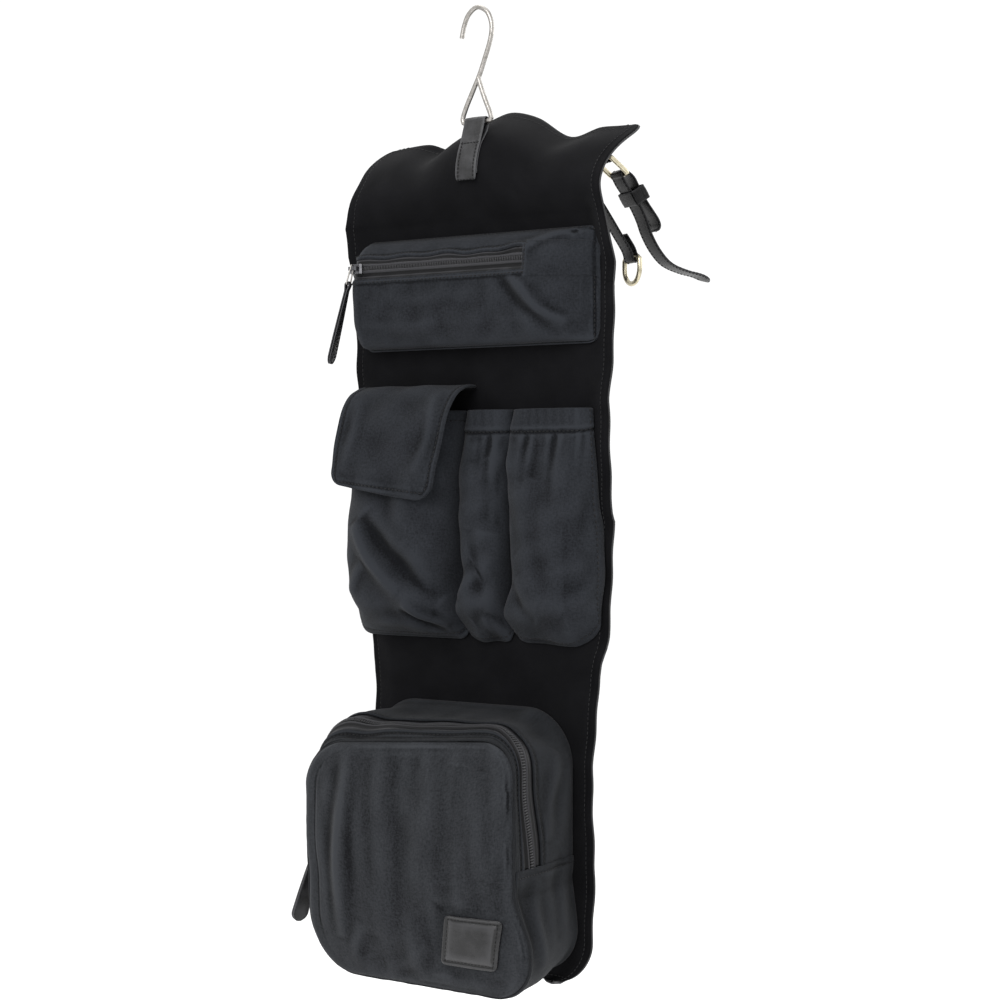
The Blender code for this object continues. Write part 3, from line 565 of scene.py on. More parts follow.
def strap(name, path, across, width, thick, look, body, closed=False, sewn=None, inset=0.0022):
    """A flat leather strap along a path: domed, with rounded edges and, if asked, a stitch line by each edge."""
    path = np.asarray(path, float)
    across = np.broadcast_to(np.asarray(across, float), path.shape)
    if closed:
        ahead = unit(np.roll(path, -1, axis=0) - np.roll(path, 1, axis=0))
    else:
        ahead = unit(np.gradient(path, axis=0))
    out = unit(np.cross(ahead, across))
    walked = walk(path)
    half = np.array([width(w, walked[-1] - w) if callable(width) else width for w in walked]) / 2
    steps, count = 9, len(path)
    k = np.sin(np.linspace(-1, 1, steps) * math.pi / 2)
    near = (1 - np.abs(k)) * half.mean()
    rise = (thick / 2) * (1 - np.abs(k) ** 8 * 0.75)
    rise = rise - 0.16 * thick * bell(near, inset, 0.0006) + 0.08 * thick * bell(near, inset * 0.45, 0.0006)
    middle = path[:, None] + across[:, None] * (k[None, :, None] * half[:, None, None])
    rise = out[:, None] * rise[None, :, None]
    ring = np.concatenate([middle + rise, (middle - rise)[:, ::-1]], axis=1)
    size, last = 2 * steps, (count - 1) * 2 * steps
    faces = [[i * size + j, i * size + (j + 1) % size, (i + 1) % count * size + (j + 1) % size,
              (i + 1) % count * size + j] for i in range(count if closed else count - 1) for j in range(size)]
    if not closed:
        for j in range(steps - 1):
            faces.append([j, size - 1 - j, size - 2 - j, j + 1])
            faces.append([last + j, last + j + 1, last + size - 2 - j, last + size - 1 - j])
    flat = np.zeros((count, size, 2))
    flat[..., 0] = np.concatenate([k, 2.2 + k[::-1]])[None] * half.mean()
    flat[..., 1] = walked[:, None]
    wear_and_shade = np.broadcast_to(0.75 * bell(np.concatenate([near, near[::-1]]), 0, 0.0007), (count, size))
    made = make_object(name, ring.reshape(-1, 3), faces, look, flat.reshape(-1, 2), wear_and_shade.reshape(-1))
    if sewn:
        inner = slice(2, -2) if count > 8 else slice(None)
        for side in (-1, 1):
            line = path + across * (side * (half[:, None] - inset))
            for face in (1, -1):
                stitch(sewn, (line + out * face * thick * 0.42)[inner], (out * face)[inner], 0.0030, 0.0022, 0.0005)
    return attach(made, body)


SIM_SCALE = 10.0  # the solver is steadier on a larger model
SIM_FRAMES = 16
SIM_CALMING = 26
SIM_SETTINGS = dict(quality=6, mass=0.3, tension_stiffness=20, compression_stiffness=20, shear_stiffness=8,
                    bending_stiffness=14, tension_damping=8, compression_damping=8, shear_damping=8,
                    use_pressure=True, vertex_group_mass="seams")
GRAVITY_SHARE = 0.35


def seams(P, top, bottom, left, right):
    """1 on this many rows and columns by each edge of a grid, where it is sewn, and 0 inside."""
    pinned = np.zeros(P.shape[:2])
    pinned[:top] = 1
    pinned[len(pinned) - bottom:] = 1
    pinned[:, :left] = 1
    pinned[:, pinned.shape[1] - right:] = 1
    return pinned


def settle(P, pinned, pressure, grow, cap, seed):
    """Lets a grid of cloth relax as a simulation: it is a little too large for its seams, so that it
    buckles into folds, while pressure fills it. pinned is 0 to 1 for each point. The cloth is thick, so
    only the broad part of what the simulation moved is kept."""
    rows, cols = P.shape[:2]
    start = (P + normals(P) * (wander(P, 0.03, seed) * 0.0004)[..., None]) * SIM_SCALE
    mesh = bpy.data.meshes.new("settling")
    mesh.from_pydata(start.reshape(-1, 3).tolist(), [], grid_quads(rows, cols).tolist())
    work = add_object("settling", mesh)
    group = work.vertex_groups.new(name="seams")
    for i, value in enumerate(pinned.reshape(-1)):
        if value > 0.001:
            group.add([i], float(value), "REPLACE")
    modifier = work.modifiers.new("cloth", "CLOTH")
    for key, value in SIM_SETTINGS.items():
        setattr(modifier.settings, key, value)
    modifier.settings.uniform_pressure_force = pressure
    modifier.settings.shrink_min = -grow
    modifier.settings.effector_weights.gravity = GRAVITY_SHARE
    modifier.collision_settings.use_collision = False
    modifier.point_cache.frame_start, modifier.point_cache.frame_end = 1, SIM_FRAMES
    scene = bpy.context.scene
    for frame_number in range(1, SIM_FRAMES + 1):
        scene.frame_set(frame_number)
    done = work.evaluated_get(bpy.context.evaluated_depsgraph_get())
    moved = np.empty(rows * cols * 3, np.float32)
    done.data.vertices.foreach_get("co", moved)
    bpy.data.objects.remove(work)
    bpy.data.meshes.remove(mesh)
    scene.frame_set(1)
    step = moved.reshape(rows, cols, 3).astype(float) / SIM_SCALE - P
    step *= np.minimum(1, cap / np.maximum(np.linalg.norm(step, axis=2, keepdims=True), 1e-9))
    free = (1 - np.clip(pinned, 0, 1))[..., None]
    step = np.where(np.isfinite(step), step, 0) * np.maximum(free, 0)
    for _ in range(SIM_CALMING):
        step[1:-1] = (step[:-2] + 2 * step[1:-1] + step[2:]) / 4
        step[:, 1:-1] = (step[:, :-2] + 2 * step[:, 1:-1] + step[:, 2:]) / 4
    return P + step * np.sqrt(free)


# ---------------------------------------------------------------- panel

FRONT = cad_box("upper_lining")[0][1]
LINING = cad_box("upper_lining")[1][1] - FRONT
SHELL_FRONT = cad_box("upper_shell")[0][1]
SHELL = cad_box("upper_shell")[1][1] - SHELL_FRONT
TOP_HALF = cad_box("upper_lining")[1][0]
BOTTOM = cad_box("lower_lining")[0][2]
FOLD = {name: JOINT[name]["pos_m"][2] for name in ("flap_fold", "upper_fold", "lower_fold")}
WIDTH_Z = (-0.738, -0.575, -0.508, -0.486, -0.275, -0.160)
WIDTHS = (0.1030, 0.1030, 0.1065, 0.1110, 0.1215, 0.1215)
# how far the free edges of the panel wave to the right, by height, right edge and left edge
WAVE_Z = (-0.738, -0.710, -0.658, -0.598, -0.568, -0.524, -0.498, -0.479, -0.450, -0.392, -0.386, -0.346, -0.302,
          -0.261, -0.200, -0.182, -0.1605)
WAVE_RIGHT = (-0.0045, -0.0026, 0.0, -0.0022, -0.0016, 0.0, 0.0004, 0.0034, 0.0038, 0.0036, 0.0018, -0.0018,
              -0.0048, -0.0024, -0.0012, -0.0050, -0.0095)
WAVE_LEFT = (0.0, 0.0, 0.0, 0.0006, 0.0012, 0.0028, 0.0036, 0.0044, 0.0030, 0.0016, 0.0012, 0.0, 0.0008, 0.0,
             -0.0015, -0.0075, -0.0085)
FLAP_CENTRE_Y = (0.004, -0.0100, -0.0105, 0.0030, 0.0470)
FLAP_SIDE_Y = (0.004, -0.0090, 0.0000, 0.0160, 0.0400)
FLAP_EDGE_Z = (-0.0705, -0.0790, -0.0970, -0.0915, -0.0930)
BOTTOM_RADIUS = 0.030
GREY_STITCH = (0.0036, 0.0027, 0.0007)  # pitch, length and width
BACK_OF_PANEL = 0.0026  # from the front of the lining


def flap_point(u, t):
    """The front of the flap's lining at u across it (-1 to 1) and t up from its fold (0 to 1)."""
    u, t = np.broadcast_arrays(np.asarray(u, float), np.asarray(t, float))
    edge = curve(FLAP_EDGE_Z, np.minimum(np.sqrt(u**2 + 0.005), 1))
    centre, side = curve(FLAP_CENTRE_Y, t), curve(FLAP_SIDE_Y, t)
    half = TOP_HALF - 0.007 * np.sin(math.pi * t) + 0.006 * t**4
    radius = np.where(u < 0, 0.025, 0.010)
    start = 1 - radius / (FLAP_EDGE_Z[-1] - FOLD["flap_fold"])
    half = half - radius * drawn_in(np.clip((t - start) / (1 - start), 0, 1))
    y = centre + (side - centre) * np.abs(u) ** 1.5
    right = WAVE_RIGHT[-1] * np.clip(1 - t / 0.40, 0, 1) ** 1.4
    left = np.interp(t, (0, 0.12, 0.25, 0.8), (WAVE_LEFT[-1], -0.0055, -0.0035, 0))
    pinch = np.where(u > 0, right, left) * ease(0.80, 1.0, np.abs(u))
    z = FOLD["flap_fold"] + (edge - FOLD["flap_fold"]) * t
    return np.stack([u * half + 0.62 * pinch, y + 0.75 * pinch, z], axis=-1)


def panel_point(u, z):
    """The front of the lining below the flap, with its free edges waving a little."""
    u, z = np.broadcast_arrays(np.asarray(u, float), np.asarray(z, float))
    drop = np.clip((BOTTOM + BOTTOM_RADIUS - z) / BOTTOM_RADIUS, 0, 1)
    half = np.interp(z, WIDTH_Z, WIDTHS) - BOTTOM_RADIUS * drawn_in(drop)
    shift = np.where(u > 0, np.interp(z, WAVE_Z, WAVE_RIGHT), np.interp(z, WAVE_Z, WAVE_LEFT))
    near = ease(0.80, 1.0, np.abs(u))
    ripple = 0.0008 * np.sin(z * 160 + u * 2) * near
    return np.stack([u * half + 0.62 * shift * near, FRONT + (0.75 * shift + ripple) * near, z], axis=-1)


def follow(P, back):
    """Let cloth sewn to the lining wave with it, fading out away from the lining."""
    u = np.clip(P[..., 0] / np.interp(P[..., 2], WIDTH_Z, WIDTHS), -1, 1)
    P = P.copy()
    P[..., 1] += (panel_point(u, P[..., 2])[..., 1] - FRONT) * np.exp(-np.maximum(back - P[..., 1], 0) / 0.008)
    return P


# name, bodies, top and bottom, fold, reach of its bend above and below it, stitched rows (from the end if below
# 0), the piece it hangs from, CAD parts it stands for
STRETCHES = (
    ("flap_upper", ("flap", "upper"), None, -0.2150, "flap_fold", 0.0085, -0.0095, (2.4, -2.2),
     "hanging_strap", ("flap",)),
    ("upper_middle", ("upper", "middle"), -0.2150, -0.3890, "upper_fold", 0.0105, -0.0125, (-2.2,),
     "flap_upper", ("upper",)),
    ("middle_lower", ("middle", "lower"), -0.3890, BOTTOM, "lower_fold", 0.0105, -0.0280, (-6.0,),
     "upper_middle", ("middle", "lower")),
)


def stretch_grid(name, u, top, low, fold):
    """The front of the lining for one stretch, from its top row to its bottom row."""
    if name == "flap_upper":
        below = np.linspace(FOLD[fold], low, 26)[1:, None]
        P = np.concatenate([flap_point(u[None], 1 - np.linspace(0, 1, 46)[:, None]), panel_point(u[None], below)])
        soft = wander(P[..., ::2], 0.09, 4)[..., None] * 0.0012
        P = P + normals(P) * soft * ease(-0.150, -0.125, P[..., 2])[..., None]
        for _ in range(60):
            crease = bell(P[1:-1, :, 2], FOLD[fold] + 0.006, 0.024)
            P[1:-1, :, 1] += 0.25 * (P[2:] + P[:-2] - 2 * P[1:-1])[..., 1] * crease
        return P
    count = int((top - low) / 0.0028)
    z = np.linspace(top, low, count)
    if low == BOTTOM:
        foot = BOTTOM + 0.032 * (1 - np.sin(np.linspace(0, 1, 17) * math.pi / 2))
        z = np.concatenate([np.linspace(top, BOTTOM + 0.034, count - 16), foot])
    return panel_point(u[None], z[:, None])


def panel():
    """Lining and leather in three stretches, the first bending at the flap's fold, sewn together behind the pockets.
    """
    u = crowded(97, 0.55, 0.45)
    for name, bodies, top, low, fold, before, after, levels, above, parts in STRETCHES:
        P = stretch_grid(name, u, top, low, fold)
        N = normals(P)
        inner = P.copy()
        inner[..., 0] *= 1 - 0.0006 / TOP_HALF
        inner = inner - N * 0.00035 * np.minimum(1, 3 * ease(0.93, 1, np.abs(u)))[None, :, None]
        outer = P - N * (SHELL_FRONT - FRONT)
        face = cloth(f"{name}_lining", inner, LINING, "lining", edge_wear=0.2)
        hide = cloth(f"{name}_leather", outer, SHELL, "leather", edge_wear=0.6)
        key = (f"{name}_stitches", "thread_grey")
        rows = np.arange(len(P))
        for side in (-1, 1):
            at, out = sample(inner, rows, index_at((1 - 0.006 / 0.11) * side, u))
            stitch(key, at, out, *GREY_STITCH)
            stitch(key, at - out * BACK_OF_PANEL, -out, *GREY_STITCH)
        columns = index_at(np.linspace(-0.945, 0.945, 200), u)
        for level in levels:
            at, out = sample(inner, level if level > 0 else len(P) + level, columns)
            stitch(key, at - out * BACK_OF_PANEL, -out, *GREY_STITCH)
            if level in (2.4, -6.0):
                stitch(key, at, out, *GREY_STITCH)
        for piece in (face, hide, join_sewn(key)):
            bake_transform(piece)
        place(face, "lining", None, *[f"{part}_lining" for part in parts])
        place(hide, "leather", None, *[f"{part}_shell" for part in parts])


# ---------------------------------------------------------------- hook and hanging strap

BAR_Z = -0.086
HOOK_RADIUS = 0.0019
HOOK_PATH = (
    (-0.0142, 0, -0.0206), (-0.0118, 0, -0.0109), (-0.0076, 0, -0.0028), (0.0002, 0, 0.0019), (0.0083, 0, -0.0016),
    (0.0124, 0, -0.0079), (0.0139, 0, -0.0157), (0.0121, 0, -0.0256), (0.0073, 0, -0.0383), (0.0025, 0, -0.0501),
    (-0.0031, 0, -0.0609), (-0.0093, 0, -0.0726), (-0.0129, 0, -0.0812), (-0.0128, 0, -0.0848), (-0.0100, 0, BAR_Z),
    (0.0100, 0, BAR_Z), (0.0128, 0, -0.0848), (0.0128, -0.0003, -0.0812), (0.0080, -0.0025, -0.0668),
    (0.0040, -0.0042, -0.0530),
)


def hook():
    piece = wire("wire_hook", curve(HOOK_PATH, np.linspace(0, 1, 190)), HOOK_RADIUS, "nickel", "hook", sides=7)
    place(piece, "steel", None, "hanger_hook")


def flap_out(u, t, step):
    """Outward normal of the flap's lining, from points this far to each side."""
    across = flap_point(min(u + step, 1), t) - flap_point(max(u - step, -1), t)
    return unit(np.cross(across, flap_point(u, t + step) - flap_point(u, t - step)))


def hanging_strap():
    """Doubled leather from the flap, over the hook's bar and back, stitched round its edge."""
    thick = 0.0014
    turn = HOOK_RADIUS + 0.0006 + thick / 2
    under, over = 0.0009 + thick / 2, 0.0012 + thick * 1.5
    t = np.linspace(0.33, 0.63, 14)
    at = flap_point(0.0, t)
    out = np.array([flap_out(0.0, share, 0.01) for share in t])
    angle = np.radians(190 - 200 * np.linspace(0, 1, 17))
    bend = np.stack([0 * angle, turn * np.cos(angle), BAR_Z + turn * np.sin(angle)], axis=1)
    path = np.concatenate([at + out * over, bend, [[0, 0.0006, -0.0935]], (at + out * under)[::-1][:-2]])
    path = np.concatenate([path[:1] - (path[1] - path[0]) * 0.15, path])
    piece = strap("hook_strap", path, (1, 0, 0), lambda w, left: 0.0190 - 0.0022 * math.exp(-w / 0.0014), thick,
                  "leather_worn", "flap", inset=0.0024)
    place(piece, "leather", None, "hanging_strap")
    face = at + out * (over + thick * 0.42)
    key, size = ("hook_strap_stitches", "thread"), (0.0030, 0.0024, 0.0011)
    for side in (-1, 1):
        stitch(key, face + np.array([side * 0.0070, 0, 0]), out, *size)
    for end in (0, -1):
        line = face[end] + np.array([[x, 0, 0] for x in np.linspace(-0.0072, 0.0072, 8)])
        stitch(key, line, np.repeat(out[end:][:1], 8, axis=0), *size)
    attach(join_sewn(key), "flap")


# ---------------------------------------------------------------- zips and pulls

def zip_teeth(name, path, outs, body, stands, pitch=0.00155, width=0.0040):
    at, out = resample(path, outs, pitch)
    across = unit(np.cross(unit(np.gradient(at, axis=0)), out))
    key = (f"{name}_zip_teeth", "coil")
    grains(key, at + out * 0.0003, across, out, width, pitch * 0.70, 0.0011)
    place(join_sewn(key), "zip", body, stands)


def slider(node_name):
    """The CAD slider, with its edges softened and a cast-metal finish."""
    made = frame["nodes"][node_name]
    made.data.materials.clear()
    made.data.materials.append(LOOK["gunmetal"])
    soft = made.modifiers.new("soft edges", "BEVEL")
    soft.width, soft.segments, soft.limit_method = 0.0004, 2, "ANGLE"


def rounded_loop(corners, radius, steps=5):
    points = []
    for i, corner in enumerate(corners):
        into, out = unit(corners[i - 1] - corner), unit(corners[(i + 1) % len(corners)] - corner)
        for k in range(steps + 1):
            f = k / steps
            points.append((corner + into * radius) * (1 - f) ** 2 + corner * 2 * f * (1 - f)
                          + (corner + out * radius) * f**2)
    return np.array(points)


def pull(name, across, down, rise=0.0, reach=0.0125, more=0.004):
    """Wire ring through the slider's bridge, and a doubled leather tongue folded round its lower bar."""
    down = unit(np.array(down, float))
    across = np.array(across, float)
    across = unit(across - down * (across @ down))
    out = np.cross(across, down)
    top = np.array(JOINT[f"{name}_pull_swing"]["pos_m"]) - down * rise
    eye = top + down * reach
    corners = [top - across * 0.0029, top + across * 0.0029, eye + across * 0.0050, eye - across * 0.0050]
    ring = wire(f"{name}_pull_wire", rounded_loop(corners, 0.0011), 0.0006, "nickel", f"{name}_pull", True, 4)
    place(ring, None, None, f"{name}_pull_ring")
    thick = 0.0012
    turn = 0.0006 + 0.0005 + thick / 2
    front = [eye + down * (0.0006 * (math.cos(a) > 0)) + out * turn * math.cos(a) - down * turn * math.sin(a)
             for a in (math.pi / 2 - math.pi / 2 * i / 5 for i in range(1, 6))]
    reaches = np.concatenate([[0.0055, 0.009], np.linspace(0.014, 0.048 + more, 18),
                              np.linspace(0.0495, 0.0562, 14) + more])
    front += [eye + down * d + out * 0.00078 for d in reaches]
    behind = [point - out * 2 * ((point - eye) @ out) for point in front]

    def wide(walked, left):
        from_end = min(walked, left)
        share = math.sqrt(1 - max(0.0, 1 - from_end / 0.0075) ** 2)
        return (0.0150 - 0.0084 * min(from_end / (0.050 + more), 1.0) ** 1.6) * max(share, 0.28)
    key = (f"{name}_pull_stitches", "thread")
    tongue = strap(f"{name}_pull_leather", behind[::-1] + [eye - down * turn] + front, across, wide, thick,
                   "leather_worn", f"{name}_pull", sewn=key, inset=0.0016)
    place(tongue, "leather", None, f"{name}_leather_pull")
    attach(join_sewn(key), f"{name}_pull")


# ---------------------------------------------------------------- top pocket

POCKET_HALF = cad_box("top_pocket_lower")[1][0]
POCKET_TOP, POCKET_LOW = cad_box("top_pocket_upper")[1][2], cad_box("top_pocket_lower")[0][2]
SEAM_Y = FRONT - 0.0018
ZIP_END = 0.056
TAPE_THICK = 0.0006
# soft folds: points in the plane, height, half width, lean
TOP_FOLDS = (
    (((0.036, -0.196), (0.050, -0.212), (0.064, -0.226), (0.080, -0.240), (0.089, -0.246)), 0.0026, 0.0052, -1),
    (((0.058, -0.224), (0.072, -0.236), (0.090, -0.243)), 0.0007, 0.0030, 1),
    (((0.052, -0.190), (0.066, -0.182), (0.080, -0.176), (0.092, -0.1745)), 0.0026, 0.0042, 1),
    (((0.0888, -0.1772), (0.0905, -0.1760), (0.0925, -0.1750)), -0.0022, 0.0020, 1),
    (((-0.085, -0.214), (-0.050, -0.222), (-0.010, -0.219), (0.020, -0.224)), 0.0012, 0.0070, 1),
    (((-0.095, -0.238), (-0.060, -0.243), (-0.020, -0.240)), 0.0011, 0.0060, -1),
)


def top_pocket_point(x, s, sink=0.0):
    """The pocket's outer face at s from its top seam (0) to its bottom seam (1), sunk inwards if asked."""
    x, s = np.broadcast_arrays(np.asarray(x, float), np.asarray(s, float))
    rise = np.clip((x + POCKET_HALF) / 0.012, 0, 1)
    fall = np.clip((POCKET_HALF - 0.004 - x) / (POCKET_HALF - 0.004 - ZIP_END), 0, 1)
    deep = 0.0245 * np.sin(math.pi / 2 * rise) ** 0.7 * np.sin(math.pi / 2 * fall) ** 0.8
    out = curve((0.0, 0.50, 0.86, 1.0, 1.04, 1.02, 0.94, 0.62, 0.0), s)
    drop = curve((0.0, 0.06, 0.17, 0.30, 0.45, 0.62, 0.80, 0.955, 1.0), s)
    corner = 0.010
    trim = corner * drawn_in(np.clip((np.abs(x) - (POCKET_HALF - corner)) / corner, 0, 1))
    top, low = POCKET_TOP - trim, POCKET_LOW + trim
    z = top + (low - top) * drop
    lip = 0.0019 * wander(np.stack([x, 0 * x], axis=-1), 0.040, 9) * bell(s, 0.25, 0.06)
    flat = np.stack([x, z], axis=-1)
    room = ease(0, 0.0035, POCKET_HALF - np.abs(x)) * ease(0, 0.08, s) * ease(0, 0.07, 1 - s)
    calm = 1 - 0.85 * bell(s, 0.345, 0.10) * (x < ZIP_END)
    y = SEAM_Y - deep * out - (folds(flat, TOP_FOLDS) * calm + 0.0004 * wander(flat, 0.028, 5)) * room + sink
    x = x - 0.0045 * ease(0.086, 0.108, -x) * bell(s, 0.5, 0.34)  # its left end leans out at half height
    return np.stack([x, np.minimum(y, SEAM_Y), z + lip], axis=-1)


def top_pocket():
    x = POCKET_HALF * np.concatenate([np.sin(np.linspace(-1, -0.62, 24) * math.pi / 2),
                                      np.linspace(-0.81, 0.88, 104), np.linspace(0.892, 1, 16)])
    last = len(x) - 1
    upper_s, lower_s = np.linspace(0, 0.262, 32), np.linspace(0.430, 1, 60)
    by_zip = (x < ZIP_END + 0.004)[None]
    key = ("top_pocket_stitches", "thread")
    P = top_pocket_point(x[None], upper_s[:, None])
    lip = ease(0.224, 0.260, upper_s)[:, None] * by_zip
    P = raised(P, 0.0009 * np.sin(math.pi * lip) * (lip > 0))
    upper = cloth("top_pocket_upper_canvas", P, 0.0011, "canvas", edge_wear=0.5)
    sew(key, P, index_at(0.236, upper_s), np.linspace(4, last - 3, 300))
    sew(key, P, index_at(0.028, upper_s), np.linspace(10, last - 6, 300))

    P = top_pocket_point(x[None], lower_s[:, None])
    P = settle(P, seams(P, 4, 5, 4, 10), 1.6, 0.006, 0.003, 3)
    lip = ease(0.468, 0.432, lower_s)[:, None] * by_zip
    P = raised(P, 0.0007 * np.sin(math.pi * lip) * (lip > 0))
    seam = 1 - lower_s[:, None]
    P = raised(P, (0.0008 * bell(seam, 0.012, 0.012) - 0.0007 * bell(seam, 0.040, 0.010))
               * ease(0.0, 0.006, POCKET_HALF - np.abs(x))[None])
    lower = cloth("top_pocket_lower_canvas", P, 0.0011, "canvas", edge_wear=0.5)
    for share, start in ((0.456, 5), (0.960, 8)):
        sew(key, P, index_at(share, lower_s), np.linspace(start, last - 4, 300))
    sew(key, P, np.linspace(0, 56, 80), index_at(POCKET_HALF - 0.0042, x))

    zip_x = np.linspace(-POCKET_HALF + 0.0022, ZIP_END + 0.001, 110)
    for name, low, high in (("upper", 0.225, 0.343), ("lower", 0.349, 0.470)):
        s = np.linspace(low, high, 16)
        P = top_pocket_point(zip_x[None], s[:, None], 0.0010 + 0.0007 * ease(0.015, 0.040, zip_x[None]))
        inner = (high - s if name == "upper" else s - low)[:, None]
        P = raised(P, 0.0014 * bell(inner, 0.022, 0.012) - 0.0004 * bell(inner, 0.048, 0.008))
        tape = cloth(f"top_zip_tape_{name}_woven", P, TAPE_THICK, "tape")
        place(tape, "zip", "upper", f"top_zip_tape_{name}")
    path = top_pocket_point(zip_x[3:], 0.346, 0.0008)
    zip_teeth("top", path, unit(np.repeat([[0.0, -1.0, 0.1]], len(path), axis=0)), "upper", "top_zip_coil")

    patch_x = np.linspace(ZIP_END, POCKET_HALF, 44)
    P = top_pocket_point(patch_x[None], np.linspace(0.205, 0.485, 24)[:, None], 0.0004)
    P = raised(P, 0.0009 * ease(0, 0.0020, patch_x - ZIP_END) * ease(0, 0.003, POCKET_HALF - patch_x))
    patch = cloth("top_zip_end_canvas", P, 0.0009, "canvas")
    sew(key, P, np.linspace(2, 21, 40), 1.6)
    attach(join_sewn(key), "upper")
    place(upper, "canvas", "upper", "top_pocket_upper")
    place(lower, "canvas", "upper", "top_pocket_lower")
    place(patch, "canvas", "upper", "top_zip_end_patch")
    slider("top_zip_slider")
    pull("top", (-0.35, 0.94, 0), (-0.25, -0.04, -0.967), 0.0025, 0.0150, 0.008)


# ---------------------------------------------------------------- middle pockets

MIDDLE_KEY = ("middle_stitches", "thread")
FLAP_POCKET_FOLDS = (
    (((-0.082, -0.386), (-0.070, -0.404), (-0.052, -0.420), (-0.034, -0.436), (-0.016, -0.452)),
     -0.0075, 0.0085, -1),
    (((-0.092, -0.392), (-0.080, -0.412), (-0.062, -0.430), (-0.046, -0.444)), 0.0036, 0.0060, 1),
    (((-0.060, -0.366), (-0.056, -0.388), (-0.042, -0.408)), -0.0014, 0.0080, 1),
    (((-0.100, -0.450), (-0.090, -0.432), (-0.082, -0.424)), 0.0022, 0.0050, 1),
    (((-0.044, -0.450), (-0.032, -0.462), (-0.018, -0.472)), 0.0030, 0.0040, -1),
    (((-0.052, -0.458), (-0.038, -0.470), (-0.022, -0.477)), -0.0026, 0.0035, 1),
    (((-0.090, -0.472), (-0.064, -0.468), (-0.040, -0.474)), 0.0016, 0.0045, 1),
)
POCKET_FLAP_FOLDS = (
    (((-0.092, 0.030), (-0.088, 0.060), (-0.094, 0.095)), 0.0012, 0.0060, 1),
    (((-0.022, 0.026), (-0.016, 0.055), (-0.020, 0.090)), 0.0014, 0.0055, -1),
    (((-0.080, 0.100), (-0.050, 0.104), (-0.020, 0.100)), 0.0008, 0.0060, 1),
)


def strip(name, P, rows, cols, out_by, thick, body, stands):
    """A strip of fastening tape laid over part of a grid."""
    grid = [sample(P, row, cols) for row in rows]
    tape = cloth(name, np.array([at + out * out_by for at, out in grid]), thick, "elastic")
    place(tape, "elastic", body, stands)


def pocket_profile(a, fullness):
    """Share of a pocket's depth at a across it (0 to 1)."""
    return (1 - np.abs(2 * a - 1) ** fullness) ** 0.55


def flap_pocket():
    (left, _, low), (right, _, top) = cad_box("flap_pocket_body")
    tall = top - low
    across, down = crowded_share(76, 0.75, 0.25), 1 - (1 - np.linspace(0, 1, 104)) ** 1.12
    a, b = np.broadcast_arrays(across[None], down[:, None])
    deep = curve((0.026, 0.0345, 0.0385, 0.0405, 0.0400, 0.0345, 0.0), b) * pocket_profile(a, 4.6)
    P = np.stack([left + (right - left) * a, SEAM_Y - deep, top + (low - top) * b], axis=-1)
    corner = 0.009
    in_corner = np.clip(1 - np.minimum(P[..., 0] - left, right - P[..., 0]) / corner, 0, 1)
    P[..., 2] += 0.9 * corner * drawn_in(in_corner) * b
    flat = np.stack([P[..., 0], P[..., 2]], axis=-1)
    room = ease(0, 0.10, a) * ease(0, 0.10, 1 - a) * ease(0, 0.10, 1 - b) * ease(0.0, 0.12, b)
    P = raised(P, (folds(flat, FLAP_POCKET_FOLDS) + 0.0011 * wander(flat, 0.035, 11)) * room)
    P[..., 0] -= 0.0064 * ease(0.20, 0.45, b) * bell(a, 0.0, 0.14)
    pinned = seams(P, 0, 3, 2, 2)
    pinned[:3] = 0.9
    P = settle(P, pinned, 1.2, 0.008, 0.004, 8)
    P[..., 1] = np.minimum(P[..., 1], SEAM_Y)
    edge = (1 - b) * tall
    P = raised(P, 0.0003 * bell(edge, 0.0018, 0.0016) - 0.0003 * bell(edge, 0.0052, 0.0013))
    P = follow(P, SEAM_Y)
    body = cloth("flap_pocket_canvas", P, 0.0012, "canvas", edge_wear=0.5)
    sew(MIDDLE_KEY, P, index_at(1 - 0.0052 / tall, down), np.linspace(3, 72, 160))
    sew(MIDDLE_KEY, P, 4.0, np.linspace(2, 73, 160))
    place(body, "canvas", "middle", "flap_pocket_body")
    strip("pocket_loop_strip", P, index_at(np.linspace(0.205, 0.315, 14), down),
          index_at(np.linspace(0.28, 0.72, 30), across), 0.0016, 0.0011, "middle", "pocket_loop_tape")


FLAP_PATH = (
    (0.0015, -0.2880), (-0.0060, -0.2876), (-0.0150, -0.2895), (-0.0230, -0.2940), (-0.0300, -0.3030),
    (-0.0360, -0.3160), (-0.0405, -0.3340), (-0.0435, -0.3520), (-0.0450, -0.3700),
)


